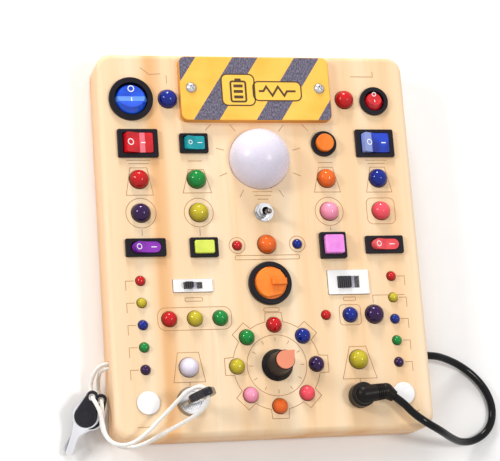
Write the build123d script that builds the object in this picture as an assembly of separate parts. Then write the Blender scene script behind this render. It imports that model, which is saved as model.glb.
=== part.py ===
from build123d import *
import os
from math import cos, pi, radians, sin, sqrt, tan

# A wooden busy board lying on its back: origin at the centre of the back face, +X to the right,
# +Y towards the top edge and +Z out of the front face. Millimetres.

# ---------------------------------------------------------------- board
BOARD_W = 166.0          # width over the side walls
BOARD_H = 200.0          # height over the end walls
BOARD_T = 24.0           # thickness, back panel included
PLAN_R = 8.0             # corner radius seen from the front
EDGE_R = 3.0             # round on the front and back edges
WALL = 8.0               # side and end walls round the hollow
SKIN = 5.0               # wood left between the hollow and the front face
HOLLOW_R = 4.0           # inside corner radius of the hollow
PANEL_T = 3.0            # back panel thickness
RIM = 5.0                # wood rim round the back panel
PANEL_GAP = 0.1          # gap round the back panel in its rebate

FACE = BOARD_T                       # height of the front face
UNDER = FACE - SKIN                  # underside of the front skin
PANEL_TOP = PANEL_T                  # inner side of the back panel

# ---------------------------------------------------------------- fits
FIT = 0.2                # gap round a body in its cut-out in the wood
SHAFT_FIT = 0.05         # radial gap of a shaft or pin that turns in its hole
SLIDE_FIT = 0.15         # gap round a part that slides
TOUCH_GAP = 0.1          # gap between two bodies that move past each other
OVERSHOOT = 1.0          # how far a cutter runs past the face it opens

# ---------------------------------------------------------------- layout on the front face
COL_FAR_L = -64.0        # centre lines of the four columns of switches and lamps
COL_NEAR_L = -34.0
COL_NEAR_R = 35.6
COL_FAR_R = 63.9
TOP_ROW_Y = 75.2         # round rocker switches and their lamps
SWITCH_ROW_Y = 51.4      # rectangular switches and the round button
LAMP_ROW_A_Y = 32.5      # two rows of large lamps
LAMP_ROW_B_Y = 14.8
MIDDLE_ROW_Y = -3.4      # oval switches and square buttons
SLIDE_ROW_Y = -23.3      # slide switches and the rotary switch
SIGNAL_ROW_Y = -40.2     # row of three lamps on each side
LOW_LAMP_Y = -64.2       # lamp on each side of the dial
FOOT_ROW_Y = -82.1       # lock, socket and touch pads
DIAL_AT = (1.2, -65.2)   # centre of the dial and its ring of lamps
DIAL_RING_R = 20.8
TOGGLE_AT = (0.4, 14.5)
DOME_AT = (0.0, 43.0)
COVER_AT = (0.0, 80.3)

# ---------------------------------------------------------------- cover plate and battery bay
COVER_W = 81.0
COVER_H = 35.0
COVER_T = 4.0
COVER_R = 3.7
COVER_EDGE_R = 0.9
SCREW_X = 34.5           # screws sit this far left and right of the plate's centre
SCREW_RISE = 0.3         # and this far above it
SCREW_HEAD_R = 2.9
SCREW_HEAD_H = 1.8
SCREW_R = 1.45
SCREW_IN_WOOD = 4.0
CROSS_L = 3.0            # cross recess in a screw head
CROSS_W = 0.7
CROSS_DEPTH = 1.0
CROSS_TURN = 30.0
CELL_R = 5.25            # AAA cells
CELL_L = 44.5
CELL_PITCH = 10.9
NUB_R = 1.9
NUB_L = 1.0
TRAY_WALL = 1.2
TRAY_END_ROOM = 2.6      # room for the contact at each end of a cell
TRAY_FLANGE = 3.0
TRAY_FLANGE_T = 1.2
TRAY_DEPTH = 14.0
CONTACT_T = 0.5
CONTACT_W = 7.0
CONTACT_FOOT_R = 3.0     # cone that touches a cell, at the plate

# ---------------------------------------------------------------- rocker switches
ROCKER_TILT = 10.0       # each way from level
ROCKER_VALLEY = 3.3      # pivot to the valley of the V-shaped top
ROCKER_DROP = 3.0        # pivot to the rocker's underside
PIVOT_DEPTH = 1.0        # face of the board to the pivot
BEZEL_T = 2.0
BEZEL_EDGE = 0.5
SWITCH_DEPTH = 12.0      # face of the board to the bottom of the housing
HOUSING_FLOOR = 1.5
WELL_GAP = 0.3           # gap round a rocker in its well
TRUNNION_R = 1.1
TRUNNION_L = 0.55
TERMINAL_W = 3.2
TERMINAL_T = 0.8
TERMINAL_L = 5.5
PIN_TERMINAL_L = 2.8     # short pins of the toggle switch

# name, x, y, shape, bezel length and width, rocker length and width, turn about Z
ROCKERS = [
    ("blue_round", -65.9, TOP_ROW_Y, "round", 23.0, 23.0, 16.8, 16.8, 90),
    ("red_round", 65.2, TOP_ROW_Y - 0.5, "round", 15.5, 15.5, 10.4, 10.4, 90),
    ("red", COL_FAR_L + 0.3, SWITCH_ROW_Y, "square", 21.0, 15.0, 15.4, 10.5, 0),
    ("blue", COL_FAR_R - 0.5, SWITCH_ROW_Y, "square", 21.0, 15.0, 15.4, 10.5, 0),
    ("teal", COL_NEAR_L - 0.4, SWITCH_ROW_Y, "square", 15.0, 10.5, 10.9, 7.0, 0),
    ("purple", COL_FAR_L + 1.2, MIDDLE_ROW_Y, "oval", 20.8, 9.4, 15.2, 5.6, 0),
    ("coral", COL_FAR_R - 0.1, MIDDLE_ROW_Y - 0.2, "oval", 20.6, 9.4, 15.2, 5.6, 0),
]
SQUARE_CORNER_R = 0.9    # plan corners of square bezels, wells, bodies and caps
BODY_INSET = 1.1         # the housing's body is this much smaller than its bezel all round
ROUND_TOP_CHAMFER = 1.6  # slope at the ends of a round rocker's top

# ---------------------------------------------------------------- push buttons
BUTTON_TRAVEL = 2.0
BUTTON_GAP = 0.25
BUTTON_LIP = 0.45        # retaining lip inside the bezel
BUTTON_FLANGE_T = 1.2
BUTTON_WELL = 9.0        # face of the board to the floor of the button's well
BUTTON_EDGE = 0.6
SPRING_R = 1.8
SPRING_WIRE_R = 0.25
SPRING_TURNS = 5

# name, x, y, shape, bezel length and width, cap length and width, bezel height, cap top above face
BUTTONS = [
    ("orange", COL_NEAR_R - 0.2, SWITCH_ROW_Y - 0.3, "round", 13.6, 13.6, 9.4, 9.4, 2.2, 4.6),
    ("lime", COL_NEAR_L + 1.4, MIDDLE_ROW_Y - 0.3, "square", 14.7, 10.3, 10.2, 6.8, 2.0, 3.4),
    ("pink", COL_NEAR_R + 0.1, MIDDLE_ROW_Y - 0.3, "square", 14.0, 13.8, 10.0, 9.6, 3.0, 5.8),
]

# ---------------------------------------------------------------- lamps
LAMP_FLANGE = 0.6        # flange round the foot of a lamp
LAMP_FLANGE_T = 1.5
LEAD_W = 0.6
LEAD_L = 7.0
LEAD_PITCH = 2.54
BIG_LAMP_R = 5.0
MID_LAMP_R = 4.0
SMALL_LAMP_R = 2.5
BIG_LAMPS = [
    (-46.5, TOP_ROW_Y + 0.3), (49.0, TOP_ROW_Y + 0.4),
    (COL_FAR_L, LAMP_ROW_A_Y), (COL_NEAR_L, LAMP_ROW_A_Y),
    (COL_NEAR_R, LAMP_ROW_A_Y), (COL_FAR_R, LAMP_ROW_A_Y),
    (COL_FAR_L, LAMP_ROW_B_Y), (COL_NEAR_L, LAMP_ROW_B_Y),
    (COL_NEAR_R, LAMP_ROW_B_Y), (COL_FAR_R, LAMP_ROW_B_Y),
    (0.7, MIDDLE_ROW_Y + 1.0), (-44.4, LOW_LAMP_Y - 0.7), (44.6, LOW_LAMP_Y + 0.7), (55.2, SIGNAL_ROW_Y),
]
SIGNAL_LAMPS = [(-52.8, SIGNAL_ROW_Y), (-39.6, SIGNAL_ROW_Y), (-26.5, SIGNAL_ROW_Y), (42.2, SIGNAL_ROW_Y)]
DIAL_LAMPS = 8
STRIP_X_L = -66.4        # columns of five small lamps
STRIP_X_R = 66.2
STRIP_TOP_Y = -20.3
STRIP_PITCH = 11.3
STRIP_COUNT = 5
LOOSE_SMALL_LAMPS = [(-15.1, MIDDLE_ROW_Y + 0.6), (16.9, MIDDLE_ROW_Y + 1.0), (29.2, SIGNAL_ROW_Y + 0.2)]

# ---------------------------------------------------------------- bulb dome
DOME_R = 16.0
DOME_WALL = 1.4
DOME_FLANGE = 2.0
DOME_FLANGE_T = 1.5
BOARD_PCB = (50.0, 34.0, 1.6)
PCB_CORNER_R = 1.0
PCB_GAP = 5.0            # back panel to the underside of the circuit board
POST_R = 2.0
POST_INSET = 3.0
BULB_R = 4.0
BULB_TOP = 3.0           # bulb's tip above the face

# ---------------------------------------------------------------- toggle switch
BUSHING_R = 3.0
BUSHING_TOP = 4.2        # above the face
WASHER_R = 4.9
WASHER_T = 0.8
NUT_AF = 7.9             # across the flats
NUT_T = 2.0
TOGGLE_BODY = (13.0, 8.0, 10.5)
TOGGLE_CORNER_R = 0.6
TOGGLE_BORE_R = 2.0
BALL_Z = 1.6             # centre of the lever's ball above the face
LEVER_R = 1.15
LEVER_TIP_R = 1.4
LEVER_L = 10.4
LEVER_TAIL = 3.2
LEVER_TAIL_R = 0.9
LEVER_TILT = 12.0        # each way from upright

# ---------------------------------------------------------------- slide switches
# name, x, y, plate length and width, plate thickness, slot length and width, knob length, knob height
SLIDES = [
    ("left_slide", -39.7, SLIDE_ROW_Y, 20.3, 6.6, 0.8, 9.8, 3.5, 4.6, 3.4),
    ("right_slide", 42.5, SLIDE_ROW_Y + 0.2, 21.8, 12.7, 1.0, 11.9, 6.3, 7.1, 2.2),
]
SLIDE_BODY_WALL = 0.8
SLIDE_BODY_DEPTH = 7.0
CARRIAGE_H = 3.2
SLIDE_PLATE_R = 0.4      # corners of the plate
GRIP_CORNER_R = 0.7
CARRIAGE_OVERLAP = 0.9   # carriage hidden under the plate at each end
RIB_PITCH = 1.1

# ---------------------------------------------------------------- rotary switch
ROTARY_AT = (0.5, SLIDE_ROW_Y + 0.2)
ROTARY_RING_R = 11.25
ROTARY_RING_T = 3.0
ROTARY_RING_EDGE = 0.9
ROTARY_FLOOR = 0.6       # floor of the ring's well above the face
ROTARY_WELL_R = 8.7
ROTARY_BODY_R = 8.4
ROTARY_KNOB_R = 8.4
ROTARY_STEM_R = 2.5
ROTARY_DISC_TOP = 2.6    # above the face
ROTARY_CROWN_TOP = 4.6
ROTARY_BAR_TOP = 6.4
ROTARY_BAR_W = 3.4
ROTARY_WEDGE = 38.0      # half angle of the pointed end
ROTARY_BACK_Y = 8.9      # half width of the crown's outline at its back

# ---------------------------------------------------------------- dial potentiometer
POT_R = 8.0
POT_DEPTH = 7.0
POT_BUSHING_R = 3.5
POT_BUSHING_TOP = 4.0
POT_NUT_AF = 9.0
POT_NUT_T = 1.6
POT_SHAFT_R = 3.0
KNOB_SKIRT_R = 8.2
KNOB_LIFT = 0.6          # knob's foot above the face
KNOB_SKIRT_H = 3.0
KNOB_WAIST_R = 6.1
KNOB_TOP_R = 5.1
KNOB_TOP = 16.0          # above the face
KNOB_HOLLOW_R = 5.6      # room for the nut
KNOB_HOLLOW_H = 2.4
KNOB_BORE_R = 4.0        # room for the bushing
KNOB_BORE_H = 4.6
CAP_R = 4.6
CAP_T = 1.2
CAP_NOSE = 6.9           # centre of the cap to the tip of its pointer
CAP_WAIST_ANGLE = 40.0   # where the pointer's edges leave the cap
POINTER_ANGLE = 44.0

# ---------------------------------------------------------------- lock and keys
LOCK_AT = (-44.3, FOOT_ROW_Y)
LOCK_BEZEL_R = 7.5
LOCK_BEZEL_T = 2.6
LOCK_BEZEL_SLOPE = 1.0   # how much narrower the bezel is at its top
LOCK_BODY_R = 5.9
LOCK_BODY_DEPTH = 15.0
LOCK_BORE_R = 4.8
LOCK_NUT_AF = 14.0
LOCK_NUT_T = 2.5
LOCK_CYLINDER_TOP = 2.2
LOCK_FLOOR = 1.2
KEY_HEAD_L = 19.0
KEY_HEAD_R = 5.8
KEY_APEX_R = 2.8
KEY_SHELL_T = 1.0        # one plastic shell of the head
KEY_PLATE_T = 1.2        # metal plate of the blade
KEY_RIM = 1.1            # metal showing round the plastic at the wide end
KEY_HOLE_AT = 3.4        # apex to the centre of the cord hole
KEY_HOLE_R = 1.7
KEY_RECESS_R = 4.0
KEY_RECESS_T = 0.4
KEY_BLADE_W = 3.6
KEY_BLADE_L = 15.0
KEY_SHOULDER = 4.5       # the bow narrows to the blade over this length below the plastic
KEY_BLADE_TIP = 1.2      # slope at each corner of the tip
KEY_GRIP_T = 4.2         # thickness of the head moulded round the bow of the key in use
KEY_GRIP_EDGE = 1.3
KEY_WRAP = 1.2           # plastic beyond the bow plate of that key
KEY_BLADE_SHIFT = 2.2    # blade's centre line left of the head's
KEY_TURN = 17.7          # key's flat in the lock, from +X
KEY_INSERTED = 7.0
KEYWAY_GAP = 0.2
SPARE_KEY_APEX = (-90.8, -73.2, 12.6)
SPARE_KEY_TURN = -19.6
SPARE_KEY_SLOPE = 14.0
SECOND_KEY_SHIFT = (5.7, -0.5)
SECOND_KEY_TURN = -12.0
KEY_STACK_GAP = 0.3

# ---------------------------------------------------------------- touch pads
TOUCH_PADS = [(-66.0, FOOT_ROW_Y), (67.1, FOOT_ROW_Y + 0.2)]
PAD_R = 5.9
PAD_T = 0.8
PAD_STEM_R = 1.5
PAD_STEM_L = 7.0

# ---------------------------------------------------------------- power socket, plug and cable
SOCKET_AT = (43.5, FOOT_ROW_Y - 0.4)
JACK_FLANGE_R = 5.8
JACK_FLANGE_T = 0.8
JACK_BODY_R = 4.9
JACK_BODY_DEPTH = 13.0
JACK_BORE_DEPTH = 10.0
JACK_NUT_AF = 12.0
JACK_NUT_T = 2.5
PIN_R = 0.95
PLUG_BARREL_R = 2.75
PLUG_BARREL_BORE_R = 1.25
PLUG_BARREL_L = 9.0
PLUG_R = 6.3
PLUG_TOP = 8.2           # above the face
PLUG_LIFT = 1.0          # foot of the plug above the face
PLUG_EDGE = 1.2
RELIEF_Z = 6.6           # strain relief's centre line above the face
RELIEF_TURN = 6.0        # heading of its ribbed part, from +X
RELIEF_R = 4.7
RELIEF_END_R = 4.1
RELIEF_L = 12.0          # ribbed part, from the plug's axis
RELIEF_RIBS = 5
RIB_GROOVE = 0.5
TAIL_TURN = -35.0        # heading of its bent tail
TAIL_L = 5.2
TAIL_END_R = 2.9
TAIL_LEAD = 4.8          # straight cable out of the tail
CABLE_R = 2.0
GLAND_AT = (-60.5, 12.0) # y and z on the right wall
GLAND_FLANGE_R = 4.6
GLAND_FLANGE_T = 2.0
GLAND_BODY_R = 3.5
GLAND_BORE_DEPTH = 4.5
GLAND_NUT_AF = 10.0
GLAND_NUT_T = 2.2
GLAND_TAIL = 3.3         # gland beyond the wall, inside
GLAND_EDGE = 0.8

# ---------------------------------------------------------------- lanyard
LANYARD_R = 1.0
LANYARD_HOLE = (-60.85, 12.0)   # y and z on the left wall
LANYARD_HOLE_R = 2.5
LANYARD_HOLE_DEPTH = 4.2
STRAND_OFFSET = 1.2      # each strand beside the middle of the hole
ARC_SHARE = 0.45         # share of a cord's run that the arc at each of its ends may take

# ---------------------------------------------------------------- wiring
LOOM_W = 4.0
LOOM_T = 1.6
LOOM_LANE_X = 50.0
LOOM_TOP_Y = 62.0
LOOM_LOW_Y = -74.0
LOOM_CROSS_Y = 24.5

CENTRE_LOW = (Align.CENTER, Align.CENTER, Align.MIN)


# ================================================================ small helpers
def drum(radius, low, high, at=(0, 0)):
    """Upright cylinder between two heights."""
    return Pos(at[0], at[1], low) * Cylinder(radius, high - low, align=CENTRE_LOW)


def taper(r_low, r_high, low, high, at=(0, 0)):
    """Upright cone frustum between two heights."""
    return Pos(at[0], at[1], low) * Cone(r_low, r_high, high - low, align=CENTRE_LOW)


def outline(shape, length, width):
    """Plan outline of a switch or button: round, oval or square."""
    if shape == "round":
        return Circle(length / 2)
    if shape == "oval":
        return SlotOverall(length, width)
    return RectangleRounded(length, width, SQUARE_CORNER_R)


def prism(sketch, low, high, at=(0, 0)):
    """A sketch pulled up between two heights."""
    return Pos(at[0], at[1], low) * extrude(sketch, high - low)


def slab(length, width, low, high, at=(0, 0), radius=0.0):
    """Upright block between two heights, its corners rounded where a radius is given."""
    sketch = RectangleRounded(length, width, radius) if radius else Rectangle(length, width)
    return prism(sketch, low, high, at)


def half_ball(radius, low, at=(0, 0)):
    """Upper half of a ball standing on a height."""
    return Pos(at[0], at[1], low) * Sphere(radius, arc_size1=0, align=CENTRE_LOW)


def hexagon(across_flats, low, high, at=(0, 0)):
    """Hexagonal prism for a nut."""
    return prism(RegularPolygon(across_flats / 2, 6, major_radius=False), low, high, at)


def nut_room(across_flats, low, at):
    """Round pocket under the front skin in which a nut turns."""
    return drum(across_flats / sqrt(3) + FIT, low - OVERSHOOT, UNDER, at)


def top_edges(solid):
    return solid.edges().group_by(Axis.Z)[-1]


def group(solids):
    """Several separate solids that share one node."""
    return Compound(children=list(solids))


nodes = {}               # node name to shape
cuts = []                # what is cut out of the wood
terminals = []           # solder blades and lamp leads
nuts = []                # washers and nuts on threaded bushings
springs = []


def solder_blades(place, reach):
    """Two flat terminals under a switch, this far from its middle."""
    foot = -SWITCH_DEPTH - TERMINAL_L
    for side in (-1, 1):
        terminals.append(place * slab(TERMINAL_T, TERMINAL_W, foot, -SWITCH_DEPTH, (side * reach, 0)))


# ================================================================ rocker switches
def rocker_envelope(lens):
    """What of an upright prism stays inside its own outline while it tilts both ways."""
    tall = prism(lens, -ROCKER_DROP, ROCKER_VALLEY * 3)
    return tall & tall.rotate(Axis.Y, ROCKER_TILT) & tall.rotate(Axis.Y, -ROCKER_TILT)


def rocker_blank(shape, length, width):
    """Rocker at level, with its pivot at the origin and its two flats meeting in a shallow V."""
    half = length / 2
    crest = ROCKER_VALLEY + half * tan(radians(ROCKER_TILT))
    profile = Polyline(
        (-half, -ROCKER_DROP), (-half, crest), (0, ROCKER_VALLEY), (half, crest), (half, -ROCKER_DROP),
        close=True
    )
    wedge = extrude(Plane.XZ * make_face(profile), width, both=True)
    rocker = rocker_envelope(outline(shape, length, width)) & wedge
    if shape == "round":
        brim = half - (crest - PIVOT_DEPTH - BEZEL_T)
        slope = taper(half, brim - ROUND_TOP_CHAMFER, PIVOT_DEPTH, crest + ROUND_TOP_CHAMFER)
        rocker = rocker & (slope + drum(half, -ROCKER_DROP, PIVOT_DEPTH))
    pin = Rot(90, 0, 0) * Cylinder(TRUNNION_R, width + 2 * (WELL_GAP + TRUNNION_L))
    return rocker + pin


def rocker_switch(name, x, y, shape, bezel_l, bezel_w, lens_l, lens_w, turn):
    place = Pos(x, y, FACE) * Rot(0, 0, turn)
    well = outline(shape, lens_l + 2 * WELL_GAP, lens_w + 2 * WELL_GAP)
    bezel_shape = "square" if shape == "oval" else shape
    body_l = bezel_l - 2 * BODY_INSET
    body_w = bezel_w - 2 * BODY_INSET
    bezel = prism(outline(bezel_shape, bezel_l, bezel_w), 0, BEZEL_T)
    bezel = fillet(top_edges(bezel), BEZEL_EDGE)
    body = prism(outline(bezel_shape, body_l, body_w), -SWITCH_DEPTH, 0)
    housing = bezel + body - prism(well, HOUSING_FLOOR - SWITCH_DEPTH, BEZEL_T + OVERSHOOT)
    pin_room = lens_w + 2 * (WELL_GAP + TRUNNION_L + TOUCH_GAP)
    housing -= Pos(0, 0, -PIVOT_DEPTH) * Rot(90, 0, 0) * Cylinder(TRUNNION_R + SHAFT_FIT, pin_room)
    rocker = rocker_blank(shape, lens_l, lens_w).rotate(Axis.Y, ROCKER_TILT)
    nodes[name + "_rocker_housing"] = place * housing
    nodes[name + "_rocker"] = place * Pos(0, 0, -PIVOT_DEPTH) * rocker
    hole = outline(bezel_shape, body_l + 2 * FIT, body_w + 2 * FIT)
    cuts.append(place * prism(hole, -SWITCH_DEPTH - TERMINAL_L - OVERSHOOT, OVERSHOOT))
    solder_blades(place, body_l / 4)


# ================================================================ push buttons
def coil_spring(length):
    """Open coil standing on the origin."""
    pitch = (length - 2 * SPRING_WIRE_R) / SPRING_TURNS
    path = Helix(pitch, length - 2 * SPRING_WIRE_R, SPRING_R)
    section = Plane(origin=path @ 0, z_dir=path % 0) * Circle(SPRING_WIRE_R)
    return Pos(0, 0, SPRING_WIRE_R) * sweep(section, path=path)


def push_button(name, x, y, shape, bezel_l, bezel_w, cap_l, cap_w, bezel_t, cap_top):
    place = Pos(x, y, FACE)
    lip_under = -PIVOT_DEPTH
    well_floor = -BUTTON_WELL
    body_l = bezel_l - 2 * BODY_INSET
    body_w = bezel_w - 2 * BODY_INSET
    flange_l = cap_l + 2 * BUTTON_LIP
    flange_w = cap_w + 2 * BUTTON_LIP
    bezel = prism(outline(shape, bezel_l, bezel_w), 0, bezel_t)
    bezel = fillet(top_edges(bezel), BUTTON_EDGE)
    body = prism(outline(shape, body_l, body_w), -SWITCH_DEPTH, 0)
    mouth = outline(shape, cap_l + 2 * BUTTON_GAP, cap_w + 2 * BUTTON_GAP)
    well = outline(shape, flange_l + 2 * BUTTON_GAP, flange_w + 2 * BUTTON_GAP)
    housing = bezel + body - prism(mouth, lip_under, bezel_t + OVERSHOOT) - prism(well, well_floor, lip_under)
    flange_top = lip_under - TOUCH_GAP
    flange_low = flange_top - BUTTON_FLANGE_T
    cap = prism(outline(shape, cap_l, cap_w), flange_low, cap_top)
    cap = fillet(top_edges(cap), BUTTON_EDGE)
    cap += prism(outline(shape, flange_l, flange_w), flange_low, flange_top)
    nodes[name + "_button_housing"] = place * housing
    nodes[name + "_button"] = place * cap
    hole = outline(shape, body_l + 2 * FIT, body_w + 2 * FIT)
    cuts.append(place * prism(hole, -SWITCH_DEPTH - TERMINAL_L - OVERSHOOT, OVERSHOOT))
    springs.append(place * Pos(0, 0, well_floor) * coil_spring(flange_low - well_floor))
    solder_blades(place, body_l / 4)


# ================================================================ lamps
def lamp(radius, at):
    """Round-topped lamp pushed through the skin from behind, its flange under the skin."""
    lens = drum(radius, UNDER, FACE, at) + half_ball(radius, FACE, at)
    lens += drum(radius + LAMP_FLANGE, UNDER - LAMP_FLANGE_T, UNDER, at)
    foot = UNDER - LAMP_FLANGE_T
    cuts.append(drum(radius + FIT, UNDER - OVERSHOOT, FACE + OVERSHOOT, at))
    cuts.append(drum(radius + LAMP_FLANGE + FIT, foot - LEAD_L - OVERSHOOT, UNDER, at))
    for side in (-1, 1):
        lead_at = (at[0] + side * LEAD_PITCH / 2, at[1])
        terminals.append(slab(LEAD_W, LEAD_W, foot - LEAD_L, foot, lead_at))
    return lens


def dial_lamp_places():
    step = 360 / DIAL_LAMPS
    return [
        (DIAL_AT[0] + DIAL_RING_R * cos(radians(k * step)), DIAL_AT[1] + DIAL_RING_R * sin(radians(k * step)))
        for k in range(DIAL_LAMPS)
    ]


def strip_places():
    return [(x, STRIP_TOP_Y - k * STRIP_PITCH) for x in (STRIP_X_L, STRIP_X_R) for k in range(STRIP_COUNT)]


# ================================================================ battery bay and cover
def battery_bay():
    x, y = COVER_AT
    tray_l = CELL_L + 2 * TRAY_END_ROOM
    tray_w = 2 * CELL_R + CELL_PITCH + 2 * FIT
    outer_l = tray_l + 2 * TRAY_WALL
    outer_w = tray_w + 2 * TRAY_WALL
    floor = FACE - TRAY_DEPTH + TRAY_WALL
    tray = slab(outer_l, outer_w, FACE - TRAY_DEPTH, FACE, COVER_AT)
    flange_l = outer_l + 2 * TRAY_FLANGE
    tray += slab(flange_l, outer_w, FACE - TRAY_FLANGE_T, FACE, COVER_AT)
    tray -= slab(tray_l, tray_w, floor, FACE + OVERSHOOT, COVER_AT)
    bay_w = outer_w + 2 * FIT
    cuts.append(slab(outer_l + 2 * FIT, bay_w, FACE - TRAY_DEPTH - FIT, FACE + OVERSHOOT, COVER_AT))
    cuts.append(slab(flange_l + 2 * FIT, bay_w, FACE - TRAY_FLANGE_T, FACE + OVERSHOOT, COVER_AT))
    cells = []
    contacts = []
    axis_z = floor + CELL_R
    for row, heading in ((-1, 1), (1, -1)):
        cell_y = y + row * CELL_PITCH / 2
        along = Pos(x, cell_y, axis_z) * Rot(0, 90 * heading, 0)
        can = Pos(0, 0, -NUB_L / 2) * Cylinder(CELL_R, CELL_L - NUB_L)
        nub = Pos(0, 0, CELL_L / 2 - NUB_L / 2) * Cylinder(NUB_R, NUB_L)
        cells.append(along * (can + nub))
        end = tray_l / 2
        for side in (-1, 1):
            plate_x = x + side * (end - CONTACT_T / 2)
            plate = Pos(plate_x, cell_y, axis_z) * Box(CONTACT_T, CONTACT_W, CONTACT_W)
            reach = TRAY_END_ROOM - CONTACT_T
            bump = Pos(0, 0, CELL_L / 2 + reach / 2) * Cone(NUB_R, CONTACT_FOOT_R, reach)
            contacts.append(plate + along * Rot(0, 0 if side * heading > 0 else 180, 0) * bump)
    nodes["battery_holder"] = tray
    nodes["batteries"] = group(cells)
    nodes["battery_contacts"] = group(contacts)


def phillips_screw(at):
    """Pan-head screw through the cover plate into the wood."""
    top = FACE + COVER_T
    head_r = (SCREW_HEAD_R ** 2 + SCREW_HEAD_H ** 2) / (2 * SCREW_HEAD_H)
    cap = Pos(at[0], at[1], top + SCREW_HEAD_H - head_r) * Sphere(head_r)
    head = cap & drum(SCREW_HEAD_R, top, top + SCREW_HEAD_H + OVERSHOOT, at)
    recess = Box(CROSS_L, CROSS_W, 2 * CROSS_DEPTH) + Box(CROSS_W, CROSS_L, 2 * CROSS_DEPTH)
    head -= Pos(at[0], at[1], top + SCREW_HEAD_H) * Rot(0, 0, CROSS_TURN) * recess
    return head + drum(SCREW_R, FACE - SCREW_IN_WOOD, top, at)


def cover():
    plate = slab(COVER_W, COVER_H, FACE, FACE + COVER_T, COVER_AT, COVER_R)
    plate = fillet(top_edges(plate), COVER_EDGE_R)
    screws = []
    for side in (-1, 1):
        at = (COVER_AT[0] + side * SCREW_X, COVER_AT[1] + SCREW_RISE)
        plate -= drum(SCREW_R + SHAFT_FIT, FACE - OVERSHOOT, FACE + COVER_T + OVERSHOOT, at)
        cuts.append(drum(SCREW_R + SHAFT_FIT, FACE - SCREW_IN_WOOD, FACE + OVERSHOOT, at))
        screws.append(phillips_screw(at))
    nodes["cover_plate"] = plate
    nodes["cover_screws"] = group(screws)


# ================================================================ bulb dome and circuit board
def bulb_dome():
    shell = drum(DOME_R, UNDER, FACE, DOME_AT) + half_ball(DOME_R, FACE, DOME_AT)
    foot = UNDER - DOME_FLANGE_T
    shell += drum(DOME_R + DOME_FLANGE, foot, UNDER, DOME_AT)
    inner = DOME_R - DOME_WALL
    shell -= drum(inner, foot - OVERSHOOT, FACE, DOME_AT) + half_ball(inner, FACE, DOME_AT)
    cuts.append(drum(DOME_R + FIT, UNDER - OVERSHOOT, FACE + OVERSHOOT, DOME_AT))
    nodes["bulb_dome"] = shell


def circuit_board():
    x, y = DOME_AT
    length, width, thick = BOARD_PCB
    low = PANEL_TOP + PCB_GAP
    board = slab(length, width, low, low + thick, DOME_AT, PCB_CORNER_R)
    solids = [board]
    for sx in (-1, 1):
        for sy in (-1, 1):
            at = (x + sx * (length / 2 - POST_INSET), y + sy * (width / 2 - POST_INSET))
            solids.append(drum(POST_R, low + thick, UNDER, at))
    bulb_z = FACE + BULB_TOP - BULB_R
    solids.append(drum(BULB_R, low + thick, bulb_z, DOME_AT) + half_ball(BULB_R, bulb_z, DOME_AT))
    nodes["circuit_boards"] = group(solids)


# ================================================================ toggle switch
def toggle_switch():
    at = TOGGLE_AT
    length, width, deep = TOGGLE_BODY
    body = slab(length, width, UNDER - deep, UNDER, at, TOGGLE_CORNER_R)
    body += drum(BUSHING_R, UNDER, FACE + BUSHING_TOP, at)
    ball_z = FACE + BALL_Z
    body -= drum(TOGGLE_BORE_R, ball_z - LEVER_TAIL - OVERSHOOT, FACE + BUSHING_TOP + OVERSHOOT, at)
    cuts.append(drum(BUSHING_R + FIT, UNDER - OVERSHOOT, FACE + OVERSHOOT, at))
    washer = drum(WASHER_R, FACE, FACE + WASHER_T, at) - drum(BUSHING_R, FACE, FACE + WASHER_T, at)
    nut_low = FACE + WASHER_T
    nut = hexagon(NUT_AF, nut_low, nut_low + NUT_T, at) - drum(BUSHING_R, nut_low, nut_low + NUT_T, at)
    nuts.extend([washer, nut])
    lever = Sphere(TOGGLE_BORE_R - SHAFT_FIT)
    lever += taper(LEVER_R, LEVER_TIP_R, 0, LEVER_L - LEVER_TIP_R)
    lever += Pos(0, 0, LEVER_L - LEVER_TIP_R) * Sphere(LEVER_TIP_R)
    lever += drum(LEVER_TAIL_R, -LEVER_TAIL, 0)
    nodes["toggle_body"] = body
    nodes["toggle_lever"] = Pos(at[0], at[1], ball_z) * Rot(LEVER_TILT, 0, 0) * lever
    foot = UNDER - deep
    for k in (-1, 0, 1):
        pin_at = (at[0] + k * length / 3, at[1])
        terminals.append(slab(TERMINAL_T, TERMINAL_T, foot - PIN_TERMINAL_L, foot, pin_at))


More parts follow.
